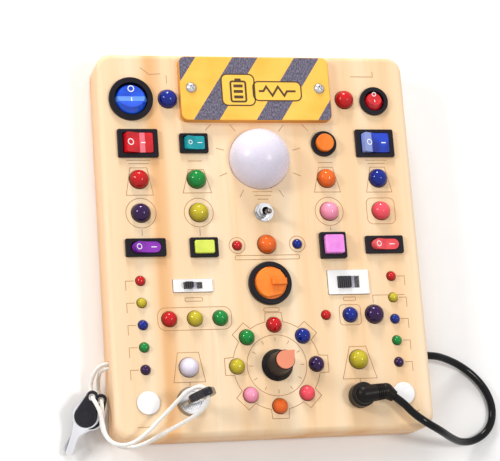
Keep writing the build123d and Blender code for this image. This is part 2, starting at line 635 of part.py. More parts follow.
# ================================================================ slide switches
def slide_switch(name, x, y, plate_l, plate_w, plate_t, slot_l, slot_w, knob_l, knob_h):
    place = Pos(x, y, FACE)
    travel = slot_l - knob_l - 2 * SLIDE_FIT
    carriage_l = slot_l + CARRIAGE_OVERLAP * 2 - travel / 2
    cavity_l = carriage_l + travel + 2 * SLIDE_FIT
    cavity_w = slot_w + 2 * SLIDE_FIT + CARRIAGE_OVERLAP
    body_l = cavity_l + 2 * SLIDE_BODY_WALL
    body_w = cavity_w + 2 * SLIDE_BODY_WALL
    frame = slab(plate_l, plate_w, 0, plate_t, (0, 0), SLIDE_PLATE_R)
    frame += slab(body_l, body_w, -SLIDE_BODY_DEPTH, 0)
    frame -= slab(cavity_l, cavity_w, SLIDE_BODY_WALL - SLIDE_BODY_DEPTH, 0)
    frame -= slab(slot_l, slot_w, -OVERSHOOT, plate_t + OVERSHOOT)
    depth = SLIDE_BODY_DEPTH + TERMINAL_L + OVERSHOOT
    cuts.append(place * slab(body_l + 2 * FIT, body_w + 2 * FIT, -depth, OVERSHOOT))
    knob_x = SLIDE_FIT + knob_l / 2 - slot_l / 2
    carriage_x = -travel / 2
    knob = slab(carriage_l, slot_w + CARRIAGE_OVERLAP, -CARRIAGE_H, -SLIDE_FIT, (carriage_x, 0))
    grip = slab(knob_l, slot_w - 2 * SLIDE_FIT, -SLIDE_FIT, knob_h, (knob_x, 0), GRIP_CORNER_R)
    ribs = int(knob_l / RIB_PITCH)
    for k in range(ribs):
        groove_x = knob_x + (k - (ribs - 1) / 2) * RIB_PITCH
        grip -= slab(RIB_PITCH / 2, slot_w, knob_h - RIB_PITCH / 2, knob_h + OVERSHOOT, (groove_x, 0))
    nodes[name + "_frame"] = place * frame
    nodes[name + "_knob"] = place * (knob + grip)
    for k in (-1, 0, 1):
        pin_at = (k * body_l / 3, 0)
        pin = slab(TERMINAL_T, TERMINAL_T, -SLIDE_BODY_DEPTH - TERMINAL_L, -SLIDE_BODY_DEPTH, pin_at)
        terminals.append(place * pin)


# ================================================================ rotary switch
def rotary_switch():
    place = Pos(ROTARY_AT[0], ROTARY_AT[1], FACE)
    ring = drum(ROTARY_RING_R, 0, ROTARY_RING_T)
    ring = fillet(top_edges(ring), ROTARY_RING_EDGE)
    ring += drum(ROTARY_BODY_R, -SWITCH_DEPTH, 0)
    ring -= drum(ROTARY_WELL_R, ROTARY_FLOOR, ROTARY_RING_T + OVERSHOOT)
    ring -= drum(ROTARY_STEM_R + SHAFT_FIT, TOUCH_GAP - SWITCH_DEPTH / 2, OVERSHOOT)
    disc_low = ROTARY_FLOOR + TOUCH_GAP
    knob = drum(ROTARY_KNOB_R, disc_low, ROTARY_DISC_TOP)
    knob += drum(ROTARY_STEM_R, 2 * TOUCH_GAP - SWITCH_DEPTH / 2, ROTARY_DISC_TOP)
    tip_x = ROTARY_KNOB_R - BUTTON_EDGE
    tip_y = ROTARY_BAR_W / 2
    crown_r = ROTARY_KNOB_R - BUTTON_EDGE / 2
    back_x = crown_r * sin(radians(ROTARY_WEDGE))
    back_y = crown_r * cos(radians(ROTARY_WEDGE))
    pointed = Polyline(
        (tip_x, tip_y), (back_x, back_y), (-crown_r, ROTARY_BACK_Y), (-crown_r, -ROTARY_BACK_Y),
        (back_x, -back_y), (tip_x, -tip_y), close=True
    )
    crown = prism(make_face(pointed), ROTARY_DISC_TOP, ROTARY_CROWN_TOP) & drum(crown_r, 0, ROTARY_BAR_TOP)
    crown = fillet(top_edges(crown), BUTTON_EDGE)
    bar = slab(tip_x, ROTARY_BAR_W, ROTARY_DISC_TOP, ROTARY_BAR_TOP, (tip_x / 2, 0))
    bar = fillet(top_edges(bar), BUTTON_EDGE)
    nodes["rotary_bezel"] = place * ring
    nodes["rotary_knob"] = place * (knob + crown + bar)
    cuts.append(place * drum(ROTARY_BODY_R + FIT, -SWITCH_DEPTH - TERMINAL_L - OVERSHOOT, OVERSHOOT))
    solder_blades(place, ROTARY_BODY_R / 2)


# ================================================================ dial potentiometer
def dial():
    at = DIAL_AT
    can_low = UNDER - POT_DEPTH
    case = drum(POT_R, can_low, UNDER, at) + drum(POT_BUSHING_R, UNDER, FACE + POT_BUSHING_TOP, at)
    shaft_low = UNDER - POT_DEPTH / 2
    case -= drum(POT_SHAFT_R + SHAFT_FIT, shaft_low - TOUCH_GAP, FACE + POT_BUSHING_TOP + OVERSHOOT, at)
    cuts.append(drum(POT_BUSHING_R + FIT, UNDER - OVERSHOOT, FACE + OVERSHOOT, at))
    nut = hexagon(POT_NUT_AF, FACE, FACE + POT_NUT_T, at) - drum(POT_BUSHING_R, FACE, FACE + POT_NUT_T, at)
    nuts.append(nut)
    foot = FACE + KNOB_LIFT
    waist = foot + KNOB_SKIRT_H
    top = FACE + KNOB_TOP
    knob = taper(KNOB_SKIRT_R, KNOB_WAIST_R, foot, waist, at)
    knob += taper(KNOB_WAIST_R, KNOB_TOP_R, waist, top, at)
    knob -= drum(KNOB_HOLLOW_R, foot, FACE + KNOB_HOLLOW_H, at)
    knob -= drum(KNOB_BORE_R, foot, FACE + KNOB_BORE_H, at)
    knob += drum(POT_SHAFT_R, shaft_low, FACE + KNOB_BORE_H + OVERSHOOT, at)
    cap_low = top - CAP_T / 2
    knob -= drum(CAP_R, cap_low, top + OVERSHOOT, at)
    edge_x = CAP_R * cos(radians(CAP_WAIST_ANGLE))
    edge_y = CAP_R * sin(radians(CAP_WAIST_ANGLE))
    nose = Polyline((0, edge_y), (edge_x, edge_y), (CAP_NOSE, 0), (edge_x, -edge_y), (0, -edge_y), close=True)
    pointer = Pos(at[0], at[1], top) * Rot(0, 0, POINTER_ANGLE) * extrude(make_face(nose), CAP_T)
    cap = drum(CAP_R, cap_low, top + CAP_T, at) + pointer
    nodes["pot_case"] = case
    nodes["pot_knob"] = knob
    nodes["pot_cap"] = cap
    for k in (-1, 0, 1):
        lug_at = (at[0] + k * POT_R / 2, at[1] - POT_R / 2)
        terminals.append(slab(TERMINAL_T, TERMINAL_T, can_low - TERMINAL_L, can_low, lug_at))


# ================================================================ keys and lock
def teardrop(wide_r, apex_r, length):
    """Key head outline: its apex at the origin, its wide end towards -Y."""
    narrow = Pos(0, -apex_r) * Circle(apex_r)
    wide = Pos(0, wide_r - length) * Circle(wide_r)
    return make_hull(narrow.edges() + wide.edges())


def key_outline():
    """Full outline of a key's bow."""
    return teardrop(KEY_HEAD_R + KEY_RIM, KEY_APEX_R, KEY_HEAD_L + KEY_RIM)


def wrapped_bow():
    """Bow of the key in use, smaller than the plastic round it."""
    length = KEY_HEAD_L + KEY_RIM - 2 * KEY_WRAP
    return Pos(0, -KEY_WRAP) * teardrop(KEY_HEAD_R + KEY_RIM - KEY_WRAP, KEY_APEX_R - KEY_WRAP, length)


def spare_bow():
    """Bow of a spare key, showing as a rim round the wide end of its shells."""
    return teardrop(KEY_HEAD_R + KEY_RIM, KEY_APEX_R - KEY_RIM / 2, KEY_HEAD_L + KEY_RIM / 2)


def key_plan(bow):
    """Outline of the metal part: its bow and the blade."""
    left = -KEY_BLADE_SHIFT - KEY_BLADE_W / 2
    right = left + KEY_BLADE_W
    root = KEY_HEAD_R - KEY_HEAD_L
    tip = -KEY_HEAD_L - KEY_BLADE_L
    wide = Pos(0, root) * Circle(KEY_HEAD_R + KEY_RIM - KEY_WRAP)
    narrow = Pos(-KEY_BLADE_SHIFT, -KEY_HEAD_L - KEY_SHOULDER) * Circle(KEY_BLADE_W / 2)
    shoulder = make_hull(wide.edges() + narrow.edges())
    blade = Polyline(
        (left, root), (left, tip + KEY_BLADE_TIP), (left + KEY_BLADE_TIP, tip), (right - KEY_BLADE_TIP, tip),
        (right, tip + KEY_BLADE_TIP), (right, root), close=True
    )
    return bow + shoulder + make_face(blade)


def cord_eye():
    """What is cut for the cord near the apex of a head."""
    return Pos(0, -KEY_HOLE_AT) * Cylinder(KEY_HOLE_R, 2 * KEY_GRIP_T)


def key_blade(bow):
    """Metal part, flat in the XY plane."""
    return extrude(key_plan(bow), KEY_PLATE_T / 2, both=True) - cord_eye()


def moulded_head():
    """Head moulded in one piece round the bow plate."""
    grip = extrude(key_outline(), KEY_GRIP_T / 2, both=True)
    grip = fillet(grip.edges().group_by(Axis.Z)[-1] + grip.edges().group_by(Axis.Z)[0], KEY_GRIP_EDGE)
    pocket = extrude(offset(key_plan(wrapped_bow()), SHAFT_FIT), KEY_PLATE_T / 2, both=True)
    return grip - pocket - cord_eye()


def key_shells():
    """Two plastic shells of a spare key, one on each side of its bow plate."""
    shell = extrude(teardrop(KEY_HEAD_R, KEY_APEX_R, KEY_HEAD_L), KEY_SHELL_T)
    shell = fillet(top_edges(shell), KEY_RECESS_T)
    shell -= Pos(0, KEY_HEAD_R - KEY_HEAD_L, KEY_SHELL_T) * Cylinder(KEY_RECESS_R, KEY_RECESS_T * 2)
    shell -= cord_eye()
    upper = Pos(0, 0, KEY_PLATE_T / 2) * shell
    return [upper, upper.mirror(Plane.XY)]


def lock_and_keys():
    at = LOCK_AT
    bezel = taper(LOCK_BEZEL_R, LOCK_BEZEL_R - LOCK_BEZEL_SLOPE, FACE, FACE + LOCK_BEZEL_T, at)
    case = bezel + drum(LOCK_BODY_R, FACE - LOCK_BODY_DEPTH, FACE, at)
    bore_low = FACE - LOCK_BODY_DEPTH + LOCK_FLOOR
    case -= drum(LOCK_BORE_R, bore_low, FACE + LOCK_BEZEL_T + OVERSHOOT, at)
    cuts.append(drum(LOCK_BODY_R + FIT, FACE - LOCK_BODY_DEPTH - OVERSHOOT, FACE + OVERSHOOT, at))
    cuts.append(nut_room(LOCK_NUT_AF, UNDER - LOCK_NUT_T, at))
    nut_low = UNDER - LOCK_NUT_T
    nuts.append(hexagon(LOCK_NUT_AF, nut_low, UNDER, at) - drum(LOCK_BODY_R, nut_low, UNDER, at))
    cylinder_top = FACE + LOCK_CYLINDER_TOP
    cylinder = drum(LOCK_BORE_R - SHAFT_FIT, bore_low + TOUCH_GAP, cylinder_top, at)
    keyway = Box(KEY_BLADE_W + 2 * KEYWAY_GAP, KEY_PLATE_T + 2 * KEYWAY_GAP, 2 * (KEY_INSERTED + OVERSHOOT))
    cylinder -= Pos(at[0], at[1], cylinder_top) * Rot(0, 0, KEY_TURN) * keyway
    apex_z = cylinder_top - KEY_INSERTED + KEY_BLADE_L + KEY_HEAD_L
    turned = Pos(at[0], at[1], apex_z) * Rot(0, 0, KEY_TURN) * Pos(KEY_BLADE_SHIFT, 0, 0) * Rot(90, 0, 0)
    nodes["lock_case"] = case
    nodes["lock_cylinder"] = cylinder
    nodes["key_blade"] = turned * key_blade(wrapped_bow())
    nodes["key_head"] = turned * moulded_head()
    stack = 2 * KEY_SHELL_T + KEY_PLATE_T + KEY_STACK_GAP
    first = Pos(*SPARE_KEY_APEX) * Rot(0, 0, SPARE_KEY_TURN) * Rot(SPARE_KEY_SLOPE, 0, 0)
    second = first * Pos(SECOND_KEY_SHIFT[0], SECOND_KEY_SHIFT[1], -stack) * Rot(0, 0, SECOND_KEY_TURN)
    nodes["spare_key_blades"] = group([first * key_blade(spare_bow()), second * key_blade(spare_bow())])
    nodes["spare_key_heads"] = group([place * shell for place in (first, second) for shell in key_shells()])


# ================================================================ touch pads
def touch_pads():
    pads = []
    for at in TOUCH_PADS:
        disc = fillet(top_edges(drum(PAD_R, FACE, FACE + PAD_T, at)), PAD_T / 2)
        pads.append(disc + drum(PAD_STEM_R, FACE - PAD_STEM_L, FACE, at))
        cuts.append(drum(PAD_STEM_R + SHAFT_FIT, FACE - PAD_STEM_L - OVERSHOOT, FACE + OVERSHOOT, at))
    nodes["touch_pads"] = group(pads)


# ================================================================ power socket and plug
def relief_bend():
    """Point where the strain relief bends from its ribbed part to its tail."""
    turn = radians(RELIEF_TURN)
    return (SOCKET_AT[0] + RELIEF_L * cos(turn), SOCKET_AT[1] + RELIEF_L * sin(turn), FACE + RELIEF_Z)


def along_tail(distance):
    """Point on the tail's centre line, this far from the bend."""
    turn = radians(TAIL_TURN)
    x, y, z = relief_bend()
    return (x + distance * cos(turn), y + distance * sin(turn), z)


def power_socket():
    at = SOCKET_AT
    jack = drum(JACK_FLANGE_R, FACE, FACE + JACK_FLANGE_T, at)
    jack += drum(JACK_BODY_R, FACE - JACK_BODY_DEPTH, FACE, at)
    bore_r = PLUG_BARREL_R + SHAFT_FIT
    jack -= drum(bore_r, FACE - JACK_BORE_DEPTH, FACE + JACK_FLANGE_T + OVERSHOOT, at)
    jack += drum(PIN_R, FACE - JACK_BORE_DEPTH, FACE - OVERSHOOT, at)
    cuts.append(drum(JACK_BODY_R + FIT, FACE - JACK_BODY_DEPTH - OVERSHOOT, FACE + OVERSHOOT, at))
    cuts.append(nut_room(JACK_NUT_AF, UNDER - JACK_NUT_T, at))
    nut_low = UNDER - JACK_NUT_T
    nuts.append(hexagon(JACK_NUT_AF, nut_low, UNDER, at) - drum(JACK_BODY_R, nut_low, UNDER, at))
    foot = FACE + PLUG_LIFT
    barrel = drum(PLUG_BARREL_R, foot - PLUG_BARREL_L, foot, at)
    barrel -= drum(PLUG_BARREL_BORE_R, foot - PLUG_BARREL_L - OVERSHOOT, foot - OVERSHOOT, at)
    body = fillet(top_edges(drum(PLUG_R, foot, FACE + PLUG_TOP, at)), PLUG_EDGE)
    relief = Cone(RELIEF_R, RELIEF_END_R, RELIEF_L, align=CENTRE_LOW) + Sphere(RELIEF_R)
    rib_from = PLUG_R + RIB_GROOVE
    rib_pitch = (RELIEF_L - rib_from) / RELIEF_RIBS
    for k in range(RELIEF_RIBS):
        along = rib_from + k * rib_pitch
        surface_r = RELIEF_R + (RELIEF_END_R - RELIEF_R) * along / RELIEF_L
        groove = drum(RELIEF_R * 2, along, along + rib_pitch / 2)
        relief -= groove - drum(surface_r - RIB_GROOVE, along, RELIEF_L)
    body += Pos(at[0], at[1], FACE + RELIEF_Z) * Rot(0, 0, RELIEF_TURN) * Rot(0, 90, 0) * relief
    tail = Sphere(RELIEF_END_R) + Cone(RELIEF_END_R, TAIL_END_R, TAIL_L, align=CENTRE_LOW)
    body += Pos(*relief_bend()) * Rot(0, 0, TAIL_TURN) * Rot(0, 90, 0) * tail
    nodes["dc_jack"] = jack
    nodes["plug_barrel"] = barrel
    nodes["plug_body"] = body


def cable_gland():
    y, z = GLAND_AT
    wall_x = BOARD_W / 2
    inner_x = wall_x - WALL
    along = Pos(0, y, z) * Rot(0, 90, 0)
    gland = along * drum(GLAND_BODY_R, inner_x - GLAND_TAIL, wall_x)
    flange = fillet(top_edges(drum(GLAND_FLANGE_R, wall_x, wall_x + GLAND_FLANGE_T)), GLAND_EDGE)
    gland += along * flange
    mouth = wall_x + GLAND_FLANGE_T
    gland -= along * drum(CABLE_R + SHAFT_FIT, mouth - GLAND_BORE_DEPTH, mouth + OVERSHOOT)
    cuts.append(along * drum(GLAND_BODY_R + FIT, inner_x - OVERSHOOT, wall_x + OVERSHOOT))
    nut_low = inner_x - GLAND_NUT_T
    nut = hexagon(GLAND_NUT_AF, nut_low, inner_x) - drum(GLAND_BODY_R, nut_low, inner_x)
    nuts.append(along * nut)
    nodes["cable_gland"] = gland


# ================================================================ free cords
def cord_tube(name, points, radius):
    """Round cord along straight runs joined by tangent arcs as large as their runs allow."""
    spots = [Vector(*p) for p in points]
    runs = [(b - a).length for a, b in zip(spots, spots[1:])]
    radii = []
    for k in range(1, len(spots) - 1):
        turn = (spots[k] - spots[k - 1]).get_angle(spots[k + 1] - spots[k])
        radii.append(ARC_SHARE * min(runs[k - 1], runs[k]) / tan(radians(turn) / 2))
    path = FilletPolyline(*spots, radius=radii)
    tube = sweep(Plane(origin=path @ 0, z_dir=path % 0) * Circle(radius), path=path)
    share = tube.volume / (pi * radius ** 2 * path.length)
    print(f"{name}: length {path.length:.1f}, volume share {share:.4f}, arc radii")
    print(" ".join(f"{r:.1f}" for r in radii))
    return tube


def plug_cable():
    """From the gland on the right wall, in a bow on the standing surface, up to the plug's strain relief."""
    y, z = GLAND_AT
    start = (BOARD_W / 2 + GLAND_FLANGE_T - GLAND_BORE_DEPTH, y, z)
    points = [
        start, (89.0, y, z), (98.0, -61.6, 7.0), (107.8, -65.0, 2.7), (116.4, -71.8, 2.1),
        (122.4, -81.0, 2.1), (124.0, -91.0, 2.1), (120.4, -100.0, 2.1), (111.6, -105.4, 2.8), (101.6, -106.4, 8.4),
        (92.4, -104.8, 18.4), (84.0, -102.2, 27.6), (76.0, -98.8, 31.8), (68.9, -93.4, 31.4),
        along_tail(TAIL_L + TAIL_LEAD), along_tail(TAIL_L),
    ]
    return cord_tube("dc_cable", points, CABLE_R)


def lanyard():
    """One limp cord: out of the left wall, through the spare keys, over the corner to the key and back."""
    y, z = LANYARD_HOLE
    inner_x = LANYARD_HOLE_DEPTH - BOARD_W / 2
    points = [
        (inner_x, y + STRAND_OFFSET, z), (-87.0, y + STRAND_OFFSET, z),
        (-90.6, -65.6, 7.6), (-91.4, -70.6, 5.2),
        (-91.5, -75.2, 7.2), (-92.3, -77.4, 16.2), (-89.6, -83.6, 18.6), (-88.2, -90.4, 17.8),
        (-87.6, -97.2, 20.2), (-84.0, -102.4, 26.2), (-77.6, -103.4, 32.0), (-70.4, -99.0, 33.6),
        (-62.6, -91.8, 33.8), (-55.6, -85.0, 36.9), (-50.0, -79.4, 42.0), (-43.4, -77.6, 49.8),
        (-41.0, -85.2, 49.8), (-44.4, -90.3, 43.0), (-52.0, -94.2, 35.4), (-60.8, -98.2, 30.4),
        (-69.2, -102.6, 28.6), (-77.0, -104.4, 25.4), (-83.4, -101.4, 19.4), (-87.2, -95.2, 13.6),
        (-88.2, -88.9, 12.6), (-87.8, -83.6, 16.2), (-87.5, -78.9, 13.4), (-86.75, -76.6, 4.2),
        (-86.9, -71.2, 2.6), (-87.2, -65.8, 5.4),
        (-86.4, y - STRAND_OFFSET, z), (inner_x, y - STRAND_OFFSET, z),
    ]
    return cord_tube("lanyard", points, LANYARD_R)


# ================================================================ wiring
def wiring_loom():
    """Flat harness on the back panel, with one riser to the circuit board."""
    low = PANEL_TOP
    high = low + LOOM_T
    lane_l = LOOM_TOP_Y - LOOM_LOW_Y
    lane_y = (LOOM_TOP_Y + LOOM_LOW_Y) / 2
    loom = slab(2 * LOOM_LANE_X, LOOM_W, low, high, (0, LOOM_CROSS_Y))
    loom += slab(2 * LOOM_LANE_X, LOOM_W, low, high, (0, LOOM_LOW_Y))
    for side in (-1, 1):
        loom += slab(LOOM_W, lane_l + LOOM_W, low, high, (side * LOOM_LANE_X, lane_y))
    riser_y = DOME_AT[1] - BOARD_PCB[1] / 2 + LOOM_W / 2
    loom += slab(LOOM_W, LOOM_W, low, low + PCB_GAP, (0, riser_y))
    loom += slab(LOOM_W, abs(riser_y - LOOM_CROSS_Y) + LOOM_W, low, high, (0, (riser_y + LOOM_CROSS_Y) / 2))
    nodes["wiring_loom"] = loom


# ================================================================ wood
def wooden_body():
    block = slab(BOARD_W, BOARD_H, 0, FACE, radius=PLAN_R)
    block = fillet(block.edges().group_by(Axis.Z)[-1] + block.edges().group_by(Axis.Z)[0], EDGE_R)
    block -= slab(BOARD_W - 2 * WALL, BOARD_H - 2 * WALL, PANEL_TOP, UNDER, radius=HOLLOW_R)
    block -= slab(BOARD_W - 2 * RIM, BOARD_H - 2 * RIM, -OVERSHOOT, PANEL_TOP, radius=PLAN_R - EDGE_R)
    y, z = LANYARD_HOLE
    wall_x = -BOARD_W / 2
    hole = drum(LANYARD_HOLE_R, wall_x - OVERSHOOT, wall_x + LANYARD_HOLE_DEPTH)
    block -= Pos(0, y, z) * Rot(0, 90, 0) * hole
    for cutter in cuts:
        block -= cutter
    return block


def back_panel():
    inset = 2 * (RIM + PANEL_GAP)
    return slab(BOARD_W - inset, BOARD_H - inset, 0, PANEL_TOP, radius=PLAN_R - EDGE_R - PANEL_GAP)


# ================================================================ build
for spec in ROCKERS:
    rocker_switch(*spec)
for spec in BUTTONS:
    push_button(*spec)
for spec in SLIDES:
    slide_switch(*spec)
battery_bay()
cover()
bulb_dome()
circuit_board()
toggle_switch()
rotary_switch()
dial()
lock_and_keys()
touch_pads()
power_socket()
cable_gland()
wiring_loom()
nodes["leds_10mm"] = group(lamp(BIG_LAMP_R, at) for at in BIG_LAMPS)
nodes["leds_8mm"] = group(lamp(MID_LAMP_R, at) for at in SIGNAL_LAMPS + dial_lamp_places())
nodes["leds_5mm"] = group(lamp(SMALL_LAMP_R, at) for at in strip_places() + LOOSE_SMALL_LAMPS)
nodes["terminals_and_leads"] = group(terminals)
nodes["panel_nuts"] = group(nuts)
nodes["button_springs"] = group(springs)
nodes["dc_cable"] = plug_cable()
nodes["lanyard"] = lanyard()
nodes["back_panel"] = back_panel()
nodes["wooden_body"] = wooden_body()

os.makedirs("parts", exist_ok=True)
for node_name, shape in nodes.items():
    export_step(shape, f"parts/{node_name}.step")
print(len(nodes), "nodes")
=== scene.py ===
from math import cos, pi, radians, sin, tan

import bmesh
import bpy
from mathutils import Matrix, Vector


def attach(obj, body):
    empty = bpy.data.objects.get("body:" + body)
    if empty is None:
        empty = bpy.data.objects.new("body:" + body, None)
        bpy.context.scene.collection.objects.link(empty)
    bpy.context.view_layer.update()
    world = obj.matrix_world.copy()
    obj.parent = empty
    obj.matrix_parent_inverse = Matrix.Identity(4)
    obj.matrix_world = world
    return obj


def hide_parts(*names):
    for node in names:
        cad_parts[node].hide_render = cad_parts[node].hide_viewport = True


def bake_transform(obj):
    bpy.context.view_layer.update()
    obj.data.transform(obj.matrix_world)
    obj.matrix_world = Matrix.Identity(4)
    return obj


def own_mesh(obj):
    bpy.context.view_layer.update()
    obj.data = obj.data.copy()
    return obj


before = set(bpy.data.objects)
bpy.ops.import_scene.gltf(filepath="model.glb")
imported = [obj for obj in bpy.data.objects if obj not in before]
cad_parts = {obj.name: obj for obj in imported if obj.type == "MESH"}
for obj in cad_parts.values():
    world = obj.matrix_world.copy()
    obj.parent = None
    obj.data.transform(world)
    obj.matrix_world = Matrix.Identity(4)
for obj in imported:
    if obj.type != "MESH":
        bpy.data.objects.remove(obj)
MM = 0.001
FACE = 24.0         # height of the board's front face
COVER_TOP = 28.0    # top of the cover plate
PRINT_LIFT = 0.03   # how far the lowest print stands off its surface
scene = bpy.context.scene
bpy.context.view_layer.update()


# ---------------------------------------------------------------- small helpers
def linear(code):
    """Linear colour of a hexadecimal sRGB code."""
    values = [int(code[k:k + 2], 16) / 255 for k in (1, 3, 5)]
    return tuple(v / 12.92 if v <= 0.04045 else ((v + 0.055) / 1.055) ** 2.4 for v in values) + (1.0,)


def shade(colour, factor):
    """The colour made darker or lighter by a factor."""
    return tuple(min(1.0, c * factor) for c in colour[:3]) + (1.0,)


def grey(level):
    return (level, level, level, 1)


BLACK, WHITE = grey(0), grey(1)


class Nodes:
    """A material's node tree, with short calls for the nodes used here."""

    def __init__(self, name):
        self.material = bpy.data.materials.new(name)
        self.material.use_nodes = True
        self.tree = self.material.node_tree
        self.shader = self.tree.nodes["Principled BSDF"]
        self.at = self.new("ShaderNodeTexCoord").outputs["Object"]

    def new(self, kind, **inputs):
        node = self.tree.nodes.new(kind)
        for key, value in inputs.items():
            self.put(node.inputs[key.replace("_", " ")], value)
        return node

    def put(self, socket, value):
        if isinstance(value, bpy.types.NodeSocket):
            self.tree.links.new(value, socket)
        else:
            socket.default_value = value

    def set(self, **inputs):
        for key, value in inputs.items():
            self.put(self.shader.inputs[key.replace("_", " ")], value)

    def math(self, operation, a, b=0.0, c=0.0):
        node = self.tree.nodes.new("ShaderNodeMath")
        node.operation = operation
        for socket, value in zip(node.inputs, (a, b, c)):
            self.put(socket, value)
        return node.outputs[0]

    def between(self, value, low, high):
        above = self.math("GREATER_THAN", value, low)
        return self.math("MULTIPLY", above, self.math("LESS_THAN", value, high))

    def noise(self, scale, detail=3.0, stretch=(1, 1, 1), rough=0.5):
        mapping = self.new("ShaderNodeMapping", Vector=self.at, Scale=stretch)
        return self.new(
            "ShaderNodeTexNoise", Vector=mapping.outputs[0], Scale=scale, Detail=detail, Roughness=rough
        ).outputs["Fac"]

    def ramp(self, value, *stops):
        node = self.new("ShaderNodeValToRGB", Fac=value)
        ends = node.color_ramp.elements
        while len(ends) < len(stops):
            ends.new(0.5)
        for element, (place, colour) in zip(ends, stops):
            element.position = place
            element.color = colour
        return node.outputs[0]

    def mix(self, factor, a, b, blend="MIX"):
        node = self.tree.nodes.new("ShaderNodeMix")
        node.data_type = "RGBA"
        node.blend_type = blend
        for socket, value in zip((node.inputs[0], node.inputs[6], node.inputs[7]), (factor, a, b)):
            self.put(socket, value)
        return node.outputs[2]

    def bump(self, height, strength, distance=0.0002):
        node = self.new("ShaderNodeBump", Height=height, Strength=strength, Distance=distance)
        self.put(self.shader.inputs["Normal"], node.outputs[0])

    def axes(self, vector):
        return self.new("ShaderNodeSeparateXYZ", Vector=vector).outputs

    def normal_up(self):
        return self.axes(self.new("ShaderNodeNewGeometry").outputs["Normal"])[2]


def moulded(name, code, rough=0.4, coat=0.0, vary=0.12, grain=900.0, bump=0.12, specular=0.4):
    """Moulded plastic, rubber or print: fine surface grain, uneven gloss, slight colour drift."""
    n = Nodes(name)
    base = linear(code)
    wide = n.noise(60.0)
    n.set(Base_Color=n.ramp(wide, (0.3, shade(base, 1 - vary)), (0.7, shade(base, 1 + vary))))
    fine = n.noise(grain, 2.0)
    n.set(Roughness=n.math("MULTIPLY_ADD", fine, 0.16, rough - 0.08))
    n.set(Coat_Weight=coat, Coat_Roughness=0.06, Specular_IOR_Level=specular)
    n.bump(fine, bump, 0.00004)
    return n.material


def gloss(name, code, deep, rough=0.16, painted_reflection=None):
    """Glossy tinted switch plastic; its last argument gives (axis, from, to, colour) of a paler strip painted
    as a reflection of a lamp, in millimetres.
    """
    n = Nodes(name)
    drift = n.noise(140.0, 2.0)
    colour = n.ramp(drift, (0.35, linear(deep)), (0.65, linear(code)))
    # A paler strip painted in as the reflection of a lamp on the gloss.
    if painted_reflection:
        axis, start, end, pale = painted_reflection
        place = n.axes(n.at)[axis]
        inside = n.between(place, start * MM, end * MM)
        reflection_streaks = n.math("MULTIPLY_ADD", n.noise(260.0, 2.0, (0.2, 1, 1)), 0.3, 0.5)
        colour = n.mix(n.math("MULTIPLY", inside, reflection_streaks), colour, linear(pale))
    n.set(Base_Color=colour)
    n.set(Roughness=n.math("MULTIPLY_ADD", n.noise(1100.0, 2.0), 0.06, rough), Specular_IOR_Level=0.3)
    n.set(Coat_Weight=0.3 if rough < 0.2 else 0.0, Coat_Roughness=0.05)
    return n.material


def lens(name, code, top_mm):
    """Lamp lens, opaque: painted shade deepens the colour round its foot and painted light makes it lighter
    towards the top.
    """
    n = Nodes(name)
    base = linear(code)
    height = n.math("DIVIDE", n.math("SUBTRACT", n.axes(n.at)[2], FACE * MM), (top_mm - FACE) * MM)
    painted_light_height = n.math("MULTIPLY_ADD", n.noise(220.0, 2.0), 0.2, n.math("SUBTRACT", height, 0.1))
    # Painted shade at the foot (0.25) and painted light towards the top (1.3).
    stops = ((0.0, 0.25), (0.55, 0.9), (0.95, 1.3))
    n.set(Base_Color=n.ramp(painted_light_height, *((place, shade(base, factor)) for place, factor in stops)))
    n.set(Roughness=n.math("MULTIPLY_ADD", n.noise(900.0, 1.0), 0.05, 0.08))
    n.set(Coat_Weight=0.55, Coat_Roughness=0.02, Specular_IOR_Level=0.04)
    return n.material


def bright_metal(name, code, rough=0.18, brushed=(1, 1, 1), sides=0.3):
    """Polished metal; its upright sides are darkened by the sides factor, as painted shade."""
    n = Nodes(name)
    base = linear(code)
    drift = n.ramp(n.noise(90.0, 3.0, brushed), (0.3, shade(base, 0.8)), (0.7, shade(base, 1.05)))
    # Painted shade: the colour is multiplied down on upright faces.
    level = n.ramp(n.normal_up(), (0.25, grey(sides)), (0.9, WHITE))
    n.set(Base_Color=n.mix(1.0, drift, level, "MULTIPLY"), Metallic=1.0)
    fine = n.noise(700.0, 3.0, brushed)
    n.set(Roughness=n.math("MULTIPLY_ADD", fine, 0.1, rough - 0.05))
    n.bump(fine, 0.04, 0.00002)
    return n.material


